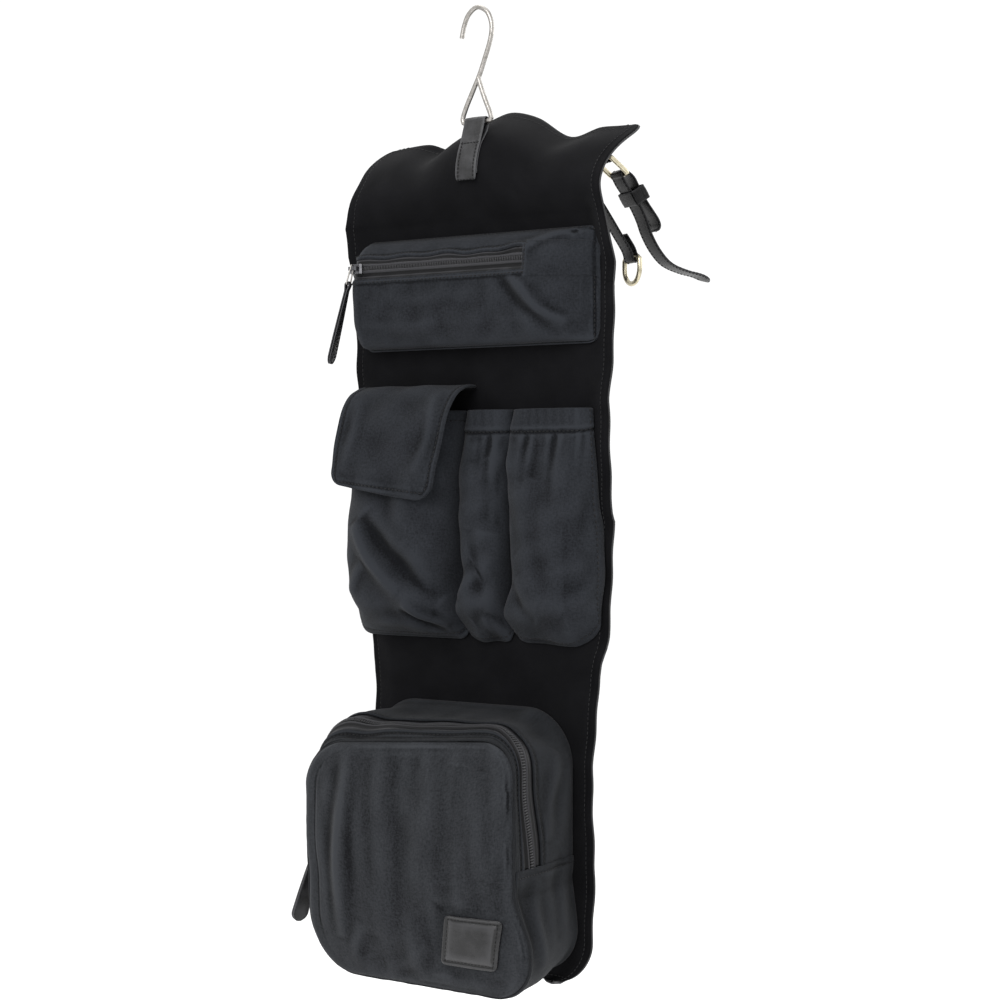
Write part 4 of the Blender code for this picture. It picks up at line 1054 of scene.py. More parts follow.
def pocket_flap():
    (left, _, _), (right, _, _) = cad_box("pocket_flap")
    middle, half, corner = (left + right) / 2, (right - left) / 2, 0.013
    line = curve(FLAP_PATH, np.linspace(0, 1, 400))
    walked = walk(line)
    long = walked[-1]
    at = np.concatenate([np.linspace(0, long - corner, 44), long - corner + corner * np.sin(
        np.linspace(0, 1, 15)[1:] * math.pi / 2)])
    down = at[:, None]
    y, z = (np.interp(down, walked, line[:, k]) for k in (0, 1))
    wide = half - corner * drawn_in(np.clip((at - (long - corner)) / corner, 0, 0.995))
    k = crowded(66, 0.4, 0.6)
    P = np.stack(np.broadcast_arrays(middle + wide[:, None] * k[None], y, z), axis=-1)
    flat = np.stack(np.broadcast_arrays(P[..., 0], down), axis=-1)
    to_edge = np.minimum((1 - np.abs(k))[None] * wide[:, None], long - down)
    lift = (0.0010 * wander(flat, 0.045, 21) + folds(flat, POCKET_FLAP_FOLDS)) * ease(0, 0.02, down)
    P = raised(P, lift - 0.0002 * bell(to_edge, 0.0042, 0.0011) + 0.0001 * bell(to_edge, 0.0016, 0.0018))
    P[..., 1] += 0.0016 * (np.abs(k)[None] ** 6) * ease(0.04, 0.1, down)
    hang = (down / long) ** 2
    P[..., 0] -= (0.0085 + 0.0035 * k[None]) * hang
    P[..., 2] -= (0.0010 + 0.0055 * k[None]) * hang
    piece = cloth("pocket_flap_canvas", P, 0.0020, "canvas", edge_wear=0.6)
    place(piece, "canvas", "pocket_flap", "pocket_flap")
    key, inset = ("pocket_flap_stitches", "thread"), 0.0042
    last = index_at(long - inset, at)
    for side in (-1, 1):
        rows = np.linspace(1, last - 2.5, 90)
        sew(key, P, rows, index_at((1 - inset / np.interp(rows, np.arange(len(at)), wide)) * side, k))
    sew(key, P, last, np.linspace(6, 59, 120))
    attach(join_sewn(key), "pocket_flap")
    strip("flap_hook_strip", P, index_at(np.linspace(long - 0.030, long - 0.010, 12), at),
          index_at(np.linspace(-0.45, 0.45, 26), k), -0.0024, 0.0007, "pocket_flap", "flap_hook_tape")


# pitch, turn per seed, start and height of the waves that gather the cloth
GATHERS = ((0.0125, 0.13, 0.0, 0.50), (0.0085, 0.31, 0.0, 0.22), (0.0210, 0.0, 0.7, 0.50))
SLUMP_Z = (0.310, 0.325, 0.368, 0.406, 0.440, 0.463, 0.478)
# per elastic pocket: columns, fullness, seed, bottom corner radii, slump at each SLUMP_Z and its reach, folds
ELASTIC = {
    "small": (50, 3.2, 5, (0.013, 0.010),
              (0.0, 0.0036, 0.0058, 0.0028, 0.0002, 1.75 * 0.0068, 0.50 * 0.0068), 0.14, (
        (((0.021, -0.345), (0.024, -0.372), (0.021, -0.400)), -0.0020, 0.0070, -1),
        (((0.003, -0.380), (0.010, -0.410), (0.016, -0.436), (0.022, -0.460)), -0.0014, 0.0065, 1),
        (((-0.004, -0.450), (0.004, -0.438), (0.016, -0.430)), 0.0018, 0.0055, 1),
        (((0.006, -0.468), (0.018, -0.462), (0.032, -0.470)), -0.0018, 0.0055, -1),
    )),
    "large": (70, 3.6, 2, (0.015, 0.021),
              (0.0, 0.0046, 0.0050, 0.0024, -0.0008, 1.60 * 0.0066, 0.30 * 0.0066), 0.10, (
        (((0.045, -0.322), (0.041, -0.346), (0.041, -0.370)), 0.0013, 0.0055, 1),
        (((0.062, -0.322), (0.064, -0.340), (0.062, -0.360)), -0.0010, 0.0055, -1),
        (((0.042, -0.436), (0.052, -0.454), (0.066, -0.464)), -0.0016, 0.0060, 1),
        (((0.048, -0.415), (0.066, -0.440), (0.088, -0.462)), 0.0014, 0.0090, -1),
    )),
}


def elastic_pocket(size):
    """A pocket gathered under an elasticated hem, slumping over its bottom seam."""
    cols, fullness, seed, radii, slump, slump_reach, lines = ELASTIC[size]
    (left, _, _), (right, _, top) = cad_box(f"elastic_hem_{size}")
    low = cad_box(f"elastic_pocket_{size}")[0][2]
    tall, wide, hem, rows = top - low, right - left, 0.0165, 128
    a, b = np.broadcast_arrays(crowded_share(cols, 0.7, 0.3)[None], np.linspace(0, 1, rows)[:, None])
    under = np.clip((b * tall - hem) / (tall - hem), 0, 1)
    depths = curve([0.0235 * k for k in (0.56, 0.86, 1.0, 1.02, 1.04, 1.0, 0.0)], under)
    out = depths * pocket_profile(a, fullness)
    x = left + wide * a
    in_left, in_right = np.clip(1 - (x - left) / radii[0], 0, 1), np.clip(1 - (right - x) / radii[1], 0, 1)
    z = top - (tall - 0.9 * (radii[0] * drawn_in(in_left) + radii[1] * drawn_in(in_right))) * b
    below = b * tall - hem
    gathers = sum(np.sin(2 * math.pi * (a * (wide / pitch) + (turn * seed + start))) * height
                  for pitch, turn, start, height in GATHERS)
    pleat = ease(-0.001, 0.006, below) * np.exp(-np.maximum(below, 0) / 0.017)
    room = ease(0, 0.10, a) * ease(0, 0.10, 1 - a)
    out = out + 0.0013 * gathers * pleat * room
    out = out + 0.00004 * np.sin(2 * math.pi * a * wide / 0.0075) * (below < 0) * room
    P = np.stack([x, SEAM_Y - out, z], axis=-1)
    flat = np.stack([x, z], axis=-1)
    soft = folds(flat, lines) + 0.0008 * wander(flat, 0.030, seed)
    P = raised(P, soft * room * ease(0.0, 0.012, below) * ease(0, 0.08, 1 - b))
    bulge = np.interp(-z, SLUMP_Z, slump)
    for _ in range(8):
        bulge[1:-1] = (bulge[:-2] + 2 * bulge[1:-1] + bulge[2:]) / 4
    P[..., 0] -= bulge * bell(a, 0.04, slump_reach)
    if size == "large":
        P[..., 0] += (0.0050 * bell(b, 0.72, 0.26) - 0.0038 * bell(b, 0.0, 0.18)) * ease(0.80, 1.0, a)
    P[..., 2] -= 0.0028 * bell(b, 0.965, 0.045) * room * (0.7 + 0.5 * np.sin(a * 9 + seed))
    P = settle(P, seams(P, int(rows * hem / tall) + 1, 3, 2, 2), 1.4, 0.008, 0.0035, seed)
    P[..., 1] = np.minimum(P[..., 1], SEAM_Y)
    P = raised(P, 0.0007 * ease(0.0006, -0.0016, below) - 0.0007 * bell(below, 0.0, 0.0012))
    P = follow(P, SEAM_Y)
    piece = cloth(f"elastic_pocket_{size}_canvas", P, 0.0013, "canvas", edge_wear=0.5)
    place(piece, "canvas", "middle", f"elastic_pocket_{size}", f"elastic_hem_{size}", f"elastic_band_{size}")
    sew(MIDDLE_KEY, P, index_at(hem / tall, b[:, 0]), np.linspace(2, cols - 3, 160))
    sew(MIDDLE_KEY, P, rows - 4.5, np.linspace(3, cols - 4, 160))
    if size == "large":
        at, out = sample(P, np.linspace(1, rows - 5, 260), cols - 3.2)
        stitch(MIDDLE_KEY, at + np.array([0, -0.0002, 0]), out, 0.0044, 0.0026, 0.0011)


def middle_pockets():
    flap_pocket()
    for size in ELASTIC:
        elastic_pocket(size)
    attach(join_sewn(MIDDLE_KEY), "middle")
    pocket_flap()


# ---------------------------------------------------------------- zip pouch

DEEP = 0.082
REAR_Y = FRONT - LINING - 0.0003
# outline at the rear and at the front: edges and corner radii
REAR = {"left": -0.0965, "right": 0.0905, "top": -0.5330, "low": -0.7310,
        "tl": 0.036, "tr": 0.042, "br": 0.036, "bl": 0.040}
FACE = {"left": -0.1035, "right": 0.1035, "top": -0.5480, "low": -0.7340,
        "tl": 0.038, "tr": 0.027, "br": 0.030, "bl": 0.050}
ZIP_FOOT = -0.642
REAR_LIP, FRONT_LIP = 0.606, 0.868  # shares of the depth where the cloth turns in along the zip
PIPING = 0.0017
CORD = 0.0011
PATCH, PATCH_HALF, PATCH_TALL = (0.0575, -0.6940), 0.024, 0.0182
POUCH_KEY = ("pouch_stitches", "thread")
SIDE_CLOTH = 0.0012
RIGHT_FOLDS = (
    (((-0.020, -0.560), (-0.034, -0.590), (-0.040, -0.625)), 0.0020, 0.0070, 1),
    (((-0.012, -0.640), (-0.030, -0.660), (-0.034, -0.700)), -0.0018, 0.0080, 1),
    (((-0.050, -0.650), (-0.062, -0.680), (-0.058, -0.715)), 0.0020, 0.0070, -1),
)
LEFT_FOLDS = (
    (((-0.016, -0.570), (-0.030, -0.600), (-0.030, -0.630)), 0.0016, 0.0070, 1),
    (((-0.020, -0.650), (-0.040, -0.675), (-0.036, -0.710)), 0.0022, 0.0080, -1),
)
FACE_FOLDS = (
    (((-0.058, -0.558), (-0.058, -0.600), (-0.061, -0.650), (-0.060, -0.705)), 0.0050, 0.0068, -1),
    (((-0.020, -0.560), (-0.026, -0.600), (-0.022, -0.650), (-0.028, -0.700)), 0.0015, 0.0110, 1),
    (((0.012, -0.556), (0.018, -0.590), (0.012, -0.640), (0.016, -0.680)), 0.0014, 0.0090, -1),
    (((0.046, -0.570), (0.040, -0.610), (0.046, -0.650)), -0.0014, 0.0110, 1),
    (((0.070, -0.560), (0.078, -0.600), (0.074, -0.650)), 0.0012, 0.0090, 1),
    (((-0.040, -0.690), (-0.048, -0.712), (-0.044, -0.726)), 0.0012, 0.0060, 1),
    (((-0.088, -0.580), (-0.080, -0.620), (-0.086, -0.670)), -0.0016, 0.0100, 1),
    (((0.020, -0.700), (0.000, -0.716), (-0.020, -0.722)), 0.0010, 0.0070, 1),
)


def lean(x, d, z):
    """The pouch's right side is drawn in above its foot, more towards the front."""
    x = x + 0.0035 * d * ease(-0.630, -0.664, z) * ease(0, 0.085, -x)
    return x - 0.0140 * (0.36 + 0.64 * d) * ease(-0.700, -0.655, z) * ease(0, 0.085, x)


def tilt(x, d, z):
    """The front's top edge climbs a little to the right."""
    return 0.0055 * np.clip(x / 0.08, -1, 1) * ease(-0.620, -0.560, z) * ease(0.3, 1.0, d)


def pouch_outline(d, part, count):
    """Points (x, z) round the pouch at depth share d: over the top, or under the bottom, clockwise."""
    o = {key: REAR[key] + (FACE[key] - REAR[key]) * d for key in REAR}
    o["top"] -= 0.0050 * float(ease(0.80, 1.0, d))

    def arc(corner, start):
        radius = o[corner]
        x = o["left"] + radius if corner[1] == "l" else o["right"] - radius
        z = o["top"] - radius if corner[0] == "t" else o["low"] + radius
        turn = start - np.linspace(0, math.pi / 2, 14)
        return [(x + radius * math.cos(a), z + radius * math.sin(a)) for a in turn]
    if part == "upper":
        points = [(o["left"], ZIP_FOOT), *arc("tl", math.pi), *arc("tr", math.pi / 2), (o["right"], ZIP_FOOT)]
    else:
        points = [(o["right"], z) for z in np.linspace(ZIP_FOOT, o["low"] + o["br"], 14)[:-1]]
        points += [*arc("br", 0), *arc("bl", -math.pi / 2), (o["left"], ZIP_FOOT)]
    points = np.array(points)
    points[:, 1] += tilt(points[:, 0], d, points[:, 1])
    points[:, 0] = lean(points[:, 0], d, points[:, 1])
    walked = walk(points)
    at = np.linspace(0, walked[-1], count)
    return np.stack([np.interp(at, walked, points[:, k]) for k in (0, 1)], axis=1)


def gusset(part, depths, count, lift=0.0):
    """The pouch's side cloth between these depth shares, a little slack and rumpled."""
    shares = np.linspace(0, 1, 41)
    rings = np.array([pouch_outline(share, part, count) for share in shares])

    def on_rings(d, k):
        return np.stack([np.interp(d[:, j], shares, rings[:, j, k]) for j in range(count)], axis=1)
    depths = np.asarray(depths, float)[:, None]
    d = depths + np.zeros(count)
    # on the right the zip runs nearer the front
    forward = 0.13 * ease(0.050, 0.092, on_rings(d, 0)) * ease(ZIP_FOOT, -0.585, on_rings(d, 1))
    d = d + forward * np.interp(d, (0, 0.45, 0.742, 1), (0, 0.5, 1, 0))
    P = np.stack([on_rings(d, 0), REAR_Y - DEEP * d, on_rings(d, 1)], axis=-1)
    x, z, side = P[..., 0], P[..., 2], P[..., 1:]
    soft = 0.0011 * wander(P, 0.045, 31) + 0.0016 * np.sin(math.pi * np.clip(depths, 0, 1)) - 0.0008
    soft = soft + ease(0.02, 0.08, x) * folds(side, RIGHT_FOLDS)
    soft = soft + ease(0.02, 0.08, -x) * folds(side, LEFT_FOLDS)
    if part == "upper":
        waves = 0.0016 * np.sin(x * 70 + 1.0) * bell(depths, 0.42, 0.30) - 0.0020 * bell(depths, 0.36, 0.22)
        soft = soft + ease(-0.560, -0.545, z) * waves
    corner = ease(0.045, 0.090, -x) * ease(-0.584, -0.556, z) * bell(depths, 0.66, 0.30)
    slider_run = ease(0.060, 0.090, -x) * ease(-0.572, -0.584, z) * bell(depths, 0.744, 0.17)
    soft = soft * (1 - 0.95 * slider_run)
    held = ease(0, 0.10, depths) * ease(0, 0.06, 1.0 - depths)
    return raised(P, soft * held + 0.0065 * corner + lift)


def hem(P, to_edge, high, peak, low, groove, groove_width):
    """Raise a rolled hem along an edge, with the groove its stitches pull."""
    return raised(P, high * bell(to_edge, peak, peak) - low * bell(to_edge, groove, groove_width))


def pouch_gussets():
    wide, stitches = 250, np.linspace(2, 247, 420)
    d = np.linspace(0, REAR_LIP, 30)
    P = gusset("upper", d, wide)
    P = settle(P, seams(P, 2, 4, 2, 2), 1.0, 0.006, 0.003, 41)
    P = hem(P, (REAR_LIP - d)[:, None] * DEEP, 0.0010, 0.0014, 0.0006, 0.0042, 0.0010)
    P = follow(P, REAR_Y)
    # the gussets take the darker canvas copy, which is painted shade
    rear = cloth("pouch_gusset_rear_canvas", P, SIDE_CLOTH, "canvas_painted_shade", edge_wear=0.5)
    sew(POUCH_KEY, P, index_at(REAR_LIP - 0.0042 / DEEP, d), stitches)

    d = np.linspace(FRONT_LIP, 1.0, 12)
    P = gusset("upper", d, wide)
    P = hem(P, (d - FRONT_LIP)[:, None] * DEEP, 0.0008, 0.0013, 0.0004, 0.0038, 0.0010)
    front = cloth("pouch_gusset_front_canvas", P, SIDE_CLOTH, "canvas_painted_shade", edge_wear=0.5)
    sew(POUCH_KEY, P, index_at(FRONT_LIP + 0.0038 / DEEP, d), stitches)

    P = gusset("lower", np.linspace(0, 1, 46), 190)
    P = settle(P, seams(P, 2, 3, 3, 3), 1.0, 0.006, 0.004, 43)
    columns = np.arange(190)
    step = np.minimum(columns, 189 - columns) / 189 * 0.35
    P = raised(P, 0.0008 * ease(0.014, 0.004, step) - 0.0005 * bell(step, 0.0180, 0.005))
    P = follow(P, REAR_Y)
    lower = cloth("pouch_gusset_lower_canvas", P, SIDE_CLOTH, "canvas_painted_shade", edge_wear=0.6)
    for column in (2.6, 186.4):
        sew(POUCH_KEY, P, np.linspace(1, 43, 80), column)

    for name, low, high in (("rear", 0.585, 0.741), ("front", 0.747, 0.888)):
        s = np.linspace(low, high, 16)
        P = gusset("upper", s, wide, -0.0010)
        inner = (high - s if name == "rear" else s - low)[:, None] * DEEP
        P = raised(P, 0.0015 * bell(inner, 0.0034, 0.0010) - 0.0003 * bell(inner, 0.0062, 0.0008))
        tape = cloth(f"pouch_zip_tape_{name}_woven", P, TAPE_THICK, "tape")
        place(tape, "zip", "lower", f"pouch_zip_tape_{name}")
    P = gusset("upper", np.linspace(0.742, 0.746, 3), 400, -0.0002)
    zip_teeth("pouch", P[1], normals(P)[1], "lower", "pouch_zip_coil", 0.0021, 0.0046)
    for piece, name in ((rear, "rear"), (front, "front"), (lower, "lower")):
        place(piece, "canvas", "lower", f"pouch_gusset_{name}")


def pouch_face_extents(z, inset):
    """Left and right edges of the pouch's front at a height, drawn in by inset."""
    top, low = FACE["top"] - 0.005 - inset, FACE["low"] + inset
    sides = []
    for edge, way, upper, under in (("left", 1, "tl", "bl"), ("right", -1, "tr", "br")):
        up, down = FACE[upper] - inset, FACE[under] - inset
        rise = np.clip((z - (top - up)) / up, 0, 1)
        drop = np.clip(((low + down) - z) / down, 0, 1)
        x = FACE[edge] + way * inset + way * (up * drawn_in(rise) + down * drawn_in(drop))
        sides.append(lean(x, 1.0, z))
    return sides


def both(du, dv):
    """A distance to the nearest edge, from the distances to two edges, that rounds their corner."""
    return 1 / np.sqrt(1 / np.maximum(du, 1e-5) ** 2 + 1 / np.maximum(dv, 1e-5) ** 2)


def pouch_front():
    rim = REAR_Y - DEEP - PIPING - 0.0003
    inset = 2 * CORD - 0.0008
    rows, cols = 120, 130
    v = crowded(rows, 0.55, 0.45)
    v[:10] = -1 + (v[10] + 1) * (1 - np.cos(np.linspace(0, 1, 11)[:10] * math.pi / 2))
    v[-10:] = -v[:10][::-1]
    top, low = FACE["top"] - 0.005 - inset, FACE["low"] + inset
    level = (top + low) / 2 - v * (top - low) / 2
    left, right = (edge[:, None] for edge in pouch_face_extents(level, inset))
    x = (left + right) / 2 + (right - left) / 2 * crowded(cols, 0.5, 0.5)[None]
    z = np.broadcast_to(level[:, None], x.shape)
    dv = np.minimum(top - z, z - low)
    near, edge = both(np.minimum((x - left) / 3.4, right - x), dv), both(np.minimum(x - left, right - x), dv)
    dome = 0.0072 * (1 - np.exp(-near / 0.010)) + 0.0022 * ease(0.0, 0.06, near)
    dome = dome + 0.0024 * (1 - np.exp(-edge / 0.0016)) * ease(0.02, -0.06, x)
    flat = np.stack([x, z], axis=-1)
    by_patch = np.maximum(np.abs(x - PATCH[0]) / 0.028, np.abs(z - PATCH[1]) / 0.023)
    soft = folds(flat, FACE_FOLDS) + 0.0011 * wander(flat * np.array([1.6, 0.7]), 0.05, 51)
    y = rim - dome - soft * ease(0, 0.014, near) * ease(0.7, 1.3, by_patch) - 0.0008
    P = np.stack([x, y, z], axis=-1)
    pinned = np.maximum(near < 0.004, 0.9 * ease(1.25, 0.9, by_patch))
    P = settle(P, pinned, 1.4, 0.005, 0.004, 47)
    P[..., 2] += tilt(P[..., 0], 1.0, P[..., 2])
    piece = cloth("pouch_front_canvas", P, 0.0012, "canvas_streaked", edge_wear=0.3)
    place(piece, "canvas", "lower", "pouch_front")
    piping(rim)
    leather_patch(P, x, level)


def piping(rim):
    """Cord covered in bias-cut canvas round the pouch's front edge."""
    ring = np.concatenate([pouch_outline(1.0, part, 130)[:-1] for part in ("upper", "lower")])
    middle = np.array([(FACE["left"] + FACE["right"]) / 2, (FACE["top"] + FACE["low"]) / 2])
    ring = ring - unit(ring - middle) * CORD * 0.9
    line = np.stack([ring[:, 0], np.full(len(ring), rim + 0.0007), ring[:, 1]], axis=1)
    line = line + 0.0003 * np.stack([wander(line, 0.02, 61), wander(line, 0.025, 62), wander(line, 0.02, 63)], axis=1)
    ahead = unit(np.roll(line, -1, axis=0) - np.roll(line, 1, axis=0))
    first = unit(np.cross(ahead, np.array([0, 1.0, 0])))
    second = np.cross(ahead, first)
    turn = np.linspace(0, 2 * math.pi, 11)[:-1]
    count, size = len(line), len(turn)
    radius = CORD * (1 + 0.06 * wander(line, 0.012, 71))[:, None, None]
    tube = line[:, None] + radius * (first[:, None] * np.cos(turn)[None, :, None]
                                     + second[:, None] * np.sin(turn)[None, :, None])
    faces = [[i * size + j, i * size + (j + 1) % size, (i + 1) % count * size + (j + 1) % size,
              (i + 1) % count * size + j] for i in range(count) for j in range(size)]
    walked = walk(line)[:, None]
    flat = np.stack(np.broadcast_arrays(walked, turn[None] * PIPING + walked), axis=-1)
    piece = make_object("pouch_piping_cord", tube.reshape(-1, 3), faces, "canvas_dark", flat.reshape(-1, 2),
                        np.full(count * size, 0.15))
    place(piece, "canvas", "lower", "pouch_front_piping")


def leather_patch(P, x, level):
    """A blank leather patch sewn low on the right of the pouch's front."""
    corner = 0.0042
    up, along = -crowded(30, 0.6, 0.4), np.linspace(-1, 1, 34)
    drawn = np.clip((np.abs(up) * PATCH_TALL - (PATCH_TALL - corner)) / corner, 0, 1)
    Q = []
    for share, half in zip(up, PATCH_HALF - corner * drawn_in(drawn)):
        height, across = PATCH[1] + PATCH_TALL * share, PATCH[0] + 0.0022 * share + half * along
        row = index_at(-height, -level)
        at, out = sample(P, row, index_at(across, x[int(round(row))]))
        Q.append(np.stack([across, at[:, 1], np.full(34, height)], axis=1) + out * 0.0020)
    Q = np.array(Q)
    edge = np.minimum((1 - np.abs(along))[None] * PATCH_HALF, (1 - np.abs(up))[:, None] * PATCH_TALL)
    puff = 0.0008 * ease(0.002, 0.008, edge) - 0.0007 * bell(edge, 0.0028, 0.0008)
    Q = raised(Q, puff + 0.0003 * bell(edge, 0.0010, 0.0008) + 0.00025 * wander(Q, 0.030, 57))
    patch = cloth("leather_patch_sewn", Q, 0.0015, "leather_patch", edge_wear=0.0)
    place(patch, "leather", "lower", "leather_patch")
    first_row, first_col = index_at(-(1 - 0.0030 / PATCH_TALL), -up), 33 * 0.0030 / 0.048
    last_row, last_col = 29 - first_row, 33 - first_col
    for r0, r1, c0, c1 in ((first_row, first_row, first_col, last_col), (last_row, last_row, first_col, last_col),
                           (first_row, last_row, first_col, first_col), (first_row, last_row, last_col, last_col)):
        sew(POUCH_KEY, Q, np.linspace(r0, r1, 30), np.linspace(c0, c1, 30), 0.0030, 0.0022, 0.0007)


def pouch():
    pouch_gussets()
    pouch_front()
    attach(join_sewn(POUCH_KEY), "lower")
    slider("pouch_zip_slider")
    pull("pouch", (0.30, 0.95, 0), (-0.25, -0.09, -0.964))


# ---------------------------------------------------------------- closing straps and rings

FOOT = (0.100, 0.010)
TURN = math.radians(30)
FRAME_BARS = ((0.0065, -0.1210), (0.0215, -0.1325))
STRAP_LEAD = ((0.0470, -0.1735), (0.0505, -0.1728), (0.0520, -0.1695), (0.0505, -0.1650), (0.0460, -0.1590),
              (0.0405, -0.1520), (0.0345, -0.1430), (0.0295, -0.1345))
STRAP_TAIL = ((0.0225, -0.1395), (0.0280, -0.1465), (0.0345, -0.1550), (0.0400, -0.1650), (0.0445, -0.1760),
              (0.0520, -0.1880), (0.0620, -0.1975), (0.0760, -0.2025), (0.0890, -0.2050), (0.0990, -0.2090))
KEEPER = (0.0335, -0.1475)
RING_BAR = (0.0320, -0.1945)
RING_TAB = ((-0.0060, -0.1490), (0.0020, -0.1535), (0.0100, -0.1640), (0.0190, -0.1770), (0.0272, -0.1890))
RING_WIRE = 0.0017
RING_HALF, RING_DROP = 0.0115, 0.0190
STRAP_WIDE = 0.0170
FRAME_ROWS = (0.34, 0.38, 0.42, 0.46)


def closure_point(side, out, z, across=0.0):
    reach = FOOT[0] + out * math.sin(TURN) + across * math.cos(TURN)
    return np.array([side * reach, FOOT[1] + out * math.cos(TURN) - across * math.sin(TURN), z])


def bend_round(side, centre, radius, start, sweep, steps):
    """Points that turn round a bar, in degrees."""
    return [closure_point(side, centre[0] + radius * math.cos(a), centre[1] + radius * math.sin(a))
            for a in (math.radians(start + sweep * i / steps) for i in range(steps + 1))]


def smooth(path, steps):
    """Evenly spaced points on a smooth curve through the path."""
    return curve(path, np.linspace(0, 1, steps))


def strap_end(walked, left):
    return STRAP_WIDE * max(0.25, math.sqrt(1 - max(0.0, 1 - 2 * left / STRAP_WIDE) ** 2))


def closing_strap(side):
    name = "right" if side > 0 else "left"
    body, key = f"closing_strap_{name}", (f"closing_strap_{name}_stitches", "thread")
    across = np.array([math.cos(TURN), -side * math.sin(TURN), 0])
    corners = [closure_point(side, *FRAME_BARS[i], across=0.0120 * k) for i, k in ((0, 1), (1, 1), (1, -1), (0, -1))]
    loop = wire(f"strap_frame_{name}_cast", rounded_loop(corners, 0.003), RING_WIRE + 0.0002, "brass", body, True)
    place(loop, "brass", None, f"strap_frame_{name}")

    lead, tail = ([closure_point(side, *at) for at in part] for part in (STRAP_LEAD, STRAP_TAIL))
    path = smooth(lead + bend_round(side, FRAME_BARS[1], 0.0031, 50, 190, 8) + tail, 90)
    piece = strap(f"closure_strap_{name}_leather", path, across, strap_end, 0.0017, "leather_gloss", body, sewn=key,
                  inset=0.0020)
    place(piece, "leather", None, f"closure_strap_{name}")

    corners = [closure_point(side, KEEPER[0] + 0.84 * 0.0062 * b, KEEPER[1] + 0.54 * 0.0062 * b, across=0.0108 * a)
               for a, b in ((1, 1), (-1, 1), (-1, -1), (1, -1))]
    step = unit(closure_point(side, 0.54, -0.84) - closure_point(side, 0, 0))
    piece = strap(f"strap_keeper_{name}_leather", rounded_loop(corners, 0.002, 4), step, 0.011, 0.0012,
                  "leather_gloss", body, closed=True, inset=0.0016)
    place(piece, "leather", None, f"strap_keeper_{name}")
    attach(join_sewn(key), body)

    half = RING_HALF
    bow = [(half * math.cos(a), half - RING_DROP + half * math.sin(a))
           for a in (-math.pi * i / 18 for i in range(19))]
    shoulder = [(half - 0.002, 0.0), (half - 0.0006, -0.0006), (half, -0.002)]
    loop = shoulder + bow + [(-x, z) for x, z in shoulder[::-1]]
    points = [closure_point(side, RING_BAR[0], RING_BAR[1] + z, across=x) for x, z in loop]
    piece = wire(f"hanging_ring_{name}_cast", points, RING_WIRE + 0.0002, "brass", f"ring_{name}", True)
    place(piece, "brass", None, f"hanging_ring_{name}")
    back_tabs(side, name, across)


def back_tabs(side, name, across):
    """Leather tabs on the back of the flap: one holds the frame and a longer one the ring."""
    key = (f"tab_stitches_{name}", "thread")

    def flap_back(out_x, t, clear):
        u = side * out_x / TOP_HALF
        return flap_point(u, t) - flap_out(u, t, 0.01) * (LINING + SHELL + 0.0006 + clear)
    wrap = bend_round(side, FRAME_BARS[0], RING_WIRE + 0.0011, -100, 240, 8)
    path = [flap_back(FOOT[0], t, 0.0016) for t in FRAME_ROWS] + wrap
    spread = [unit(flap_back(FOOT[0] + side * 0.008, t, 0) - flap_back(FOOT[0] - side * 0.008, t, 0))
              for t in FRAME_ROWS]
    spread += [unit(across * k + spread[-1] * (1 - k)) for k in np.linspace(0.2, 1, len(wrap))]
    piece = strap(f"strap_frame_tab_{name}_leather", path, spread, 0.016, 0.0012, "leather_gloss", "flap", sewn=key,
                  inset=0.0018)
    place(piece, "leather", None, f"strap_frame_tab_{name}")
    path = [flap_back(FOOT[0], 0.10, 0.0012)] + [closure_point(side, *at) for at in RING_TAB]
    path += bend_round(side, RING_BAR, RING_WIRE + 0.0012, 200, 240, 9)
    path += [closure_point(side, 0.0300, -0.1860), closure_point(side, 0.0235, -0.1770)]
    piece = strap(f"ring_tab_{name}_leather", smooth(path, 60), across, 0.015, 0.0013, "leather_gloss", "flap",
                  sewn=key, inset=0.0020)
    place(piece, "leather", None, f"ring_tab_{name}")
    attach(join_sewn(key), "flap")


# ---------------------------------------------------------------- studio

AZIMUTH, REACH, CAMERA_Z = math.radians(35), 1.60, -0.361
FOCAL = 2080.0  # in pixels of the 1000 pixel frame
AIM = (477, 480)  # the pixel the camera's level axis passes through
SENSOR = 36.0
FLOOR_HALF, FLOOR_DROP = 30.0, 0.35


def aim(thing, at, target):
    thing.location = at
    thing.rotation_euler = (Vector(target) - Vector(at)).to_track_quat("-Z", "Y").to_euler()


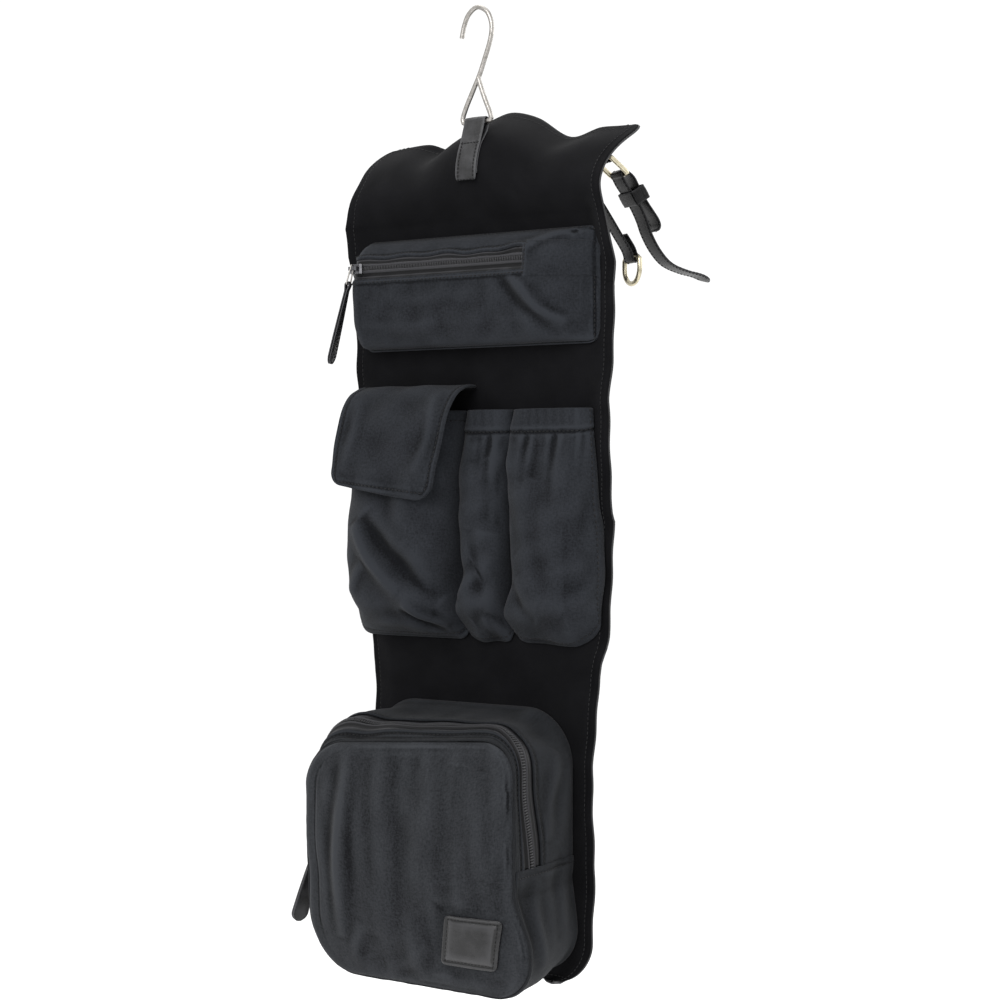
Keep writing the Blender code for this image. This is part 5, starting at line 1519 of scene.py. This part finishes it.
def lamp(name, at, target, size, power):
    data = bpy.data.lights.new(name, "AREA")
    data.shape, data.size, data.size_y = "RECTANGLE", size[0], size[1]
    data.energy, data.color = power, (1, 1, 1)
    aim(add_object(name, data), at, target)


def studio():
    forward = np.array([-math.sin(AZIMUTH), math.cos(AZIMUTH), 0])
    right = np.array([math.cos(AZIMUTH), math.sin(AZIMUTH), 0])
    at = -forward * REACH + np.array([0, 0, CAMERA_Z])
    look = forward + right * (500 - AIM[0]) / FOCAL + np.array([0, 0, -(500 - AIM[1]) / FOCAL])
    data = bpy.data.cameras.new("photo_view")
    data.sensor_width, data.lens = SENSOR, SENSOR * FOCAL / 1000
    camera = add_object("photo_view", data)
    aim(camera, at, at + look)
    bpy.context.scene.camera = camera

    mesh = bpy.data.meshes.new("pale_floor")
    level = float(CAD_LOW[2]) - FLOOR_DROP
    corners = [(x * FLOOR_HALF, y * FLOOR_HALF, level) for x, y in ((-1, -1), (1, -1), (1, 1), (-1, 1))]
    mesh.from_pydata(corners, [], [(0, 1, 2, 3)])
    surface, tree, shader = new_look("pale_floor", Roughness=0.9, Specular_IOR_Level=0.1)
    speck = noise(tree, node(tree, "TexCoord").outputs["Object"], 2.0, 2.0)
    tint(tree, shader, speck, [(0.3, (0.955, 0.955, 0.955)), (0.7, (0.975, 0.975, 0.975))])
    mesh.materials.append(surface)
    add_object("pale_floor", mesh)

    world = bpy.data.worlds.new("studio")
    world.use_nodes = True
    world.node_tree.nodes["Background"].inputs["Color"].default_value = (1, 1, 1, 1)
    world.node_tree.nodes["Background"].inputs["Strength"].default_value = 1.08
    bpy.context.scene.world = world
    lamp("key", (0.30, -1.75, 0.75), (0, 0, -0.40), (1.2, 1.2), 30)
    lamp("side", (1.9, -0.1, 0.3), (0, 0, -0.35), (1.0, 1.6), 3)
    lamp("top", (-0.4, 0.2, 1.3), (0, 0, -0.3), (1.2, 1.2), 12)
    lamp("back", (0.9, 1.5, 0.3), (0, 0, -0.3), (1.2, 1.2), 14)
    bpy.context.scene.view_settings.view_transform = "Standard"


studio()
panel()
hook()
hanging_strap()
top_pocket()
middle_pockets()
pouch()
for side in (1, -1):
    closing_strap(side)
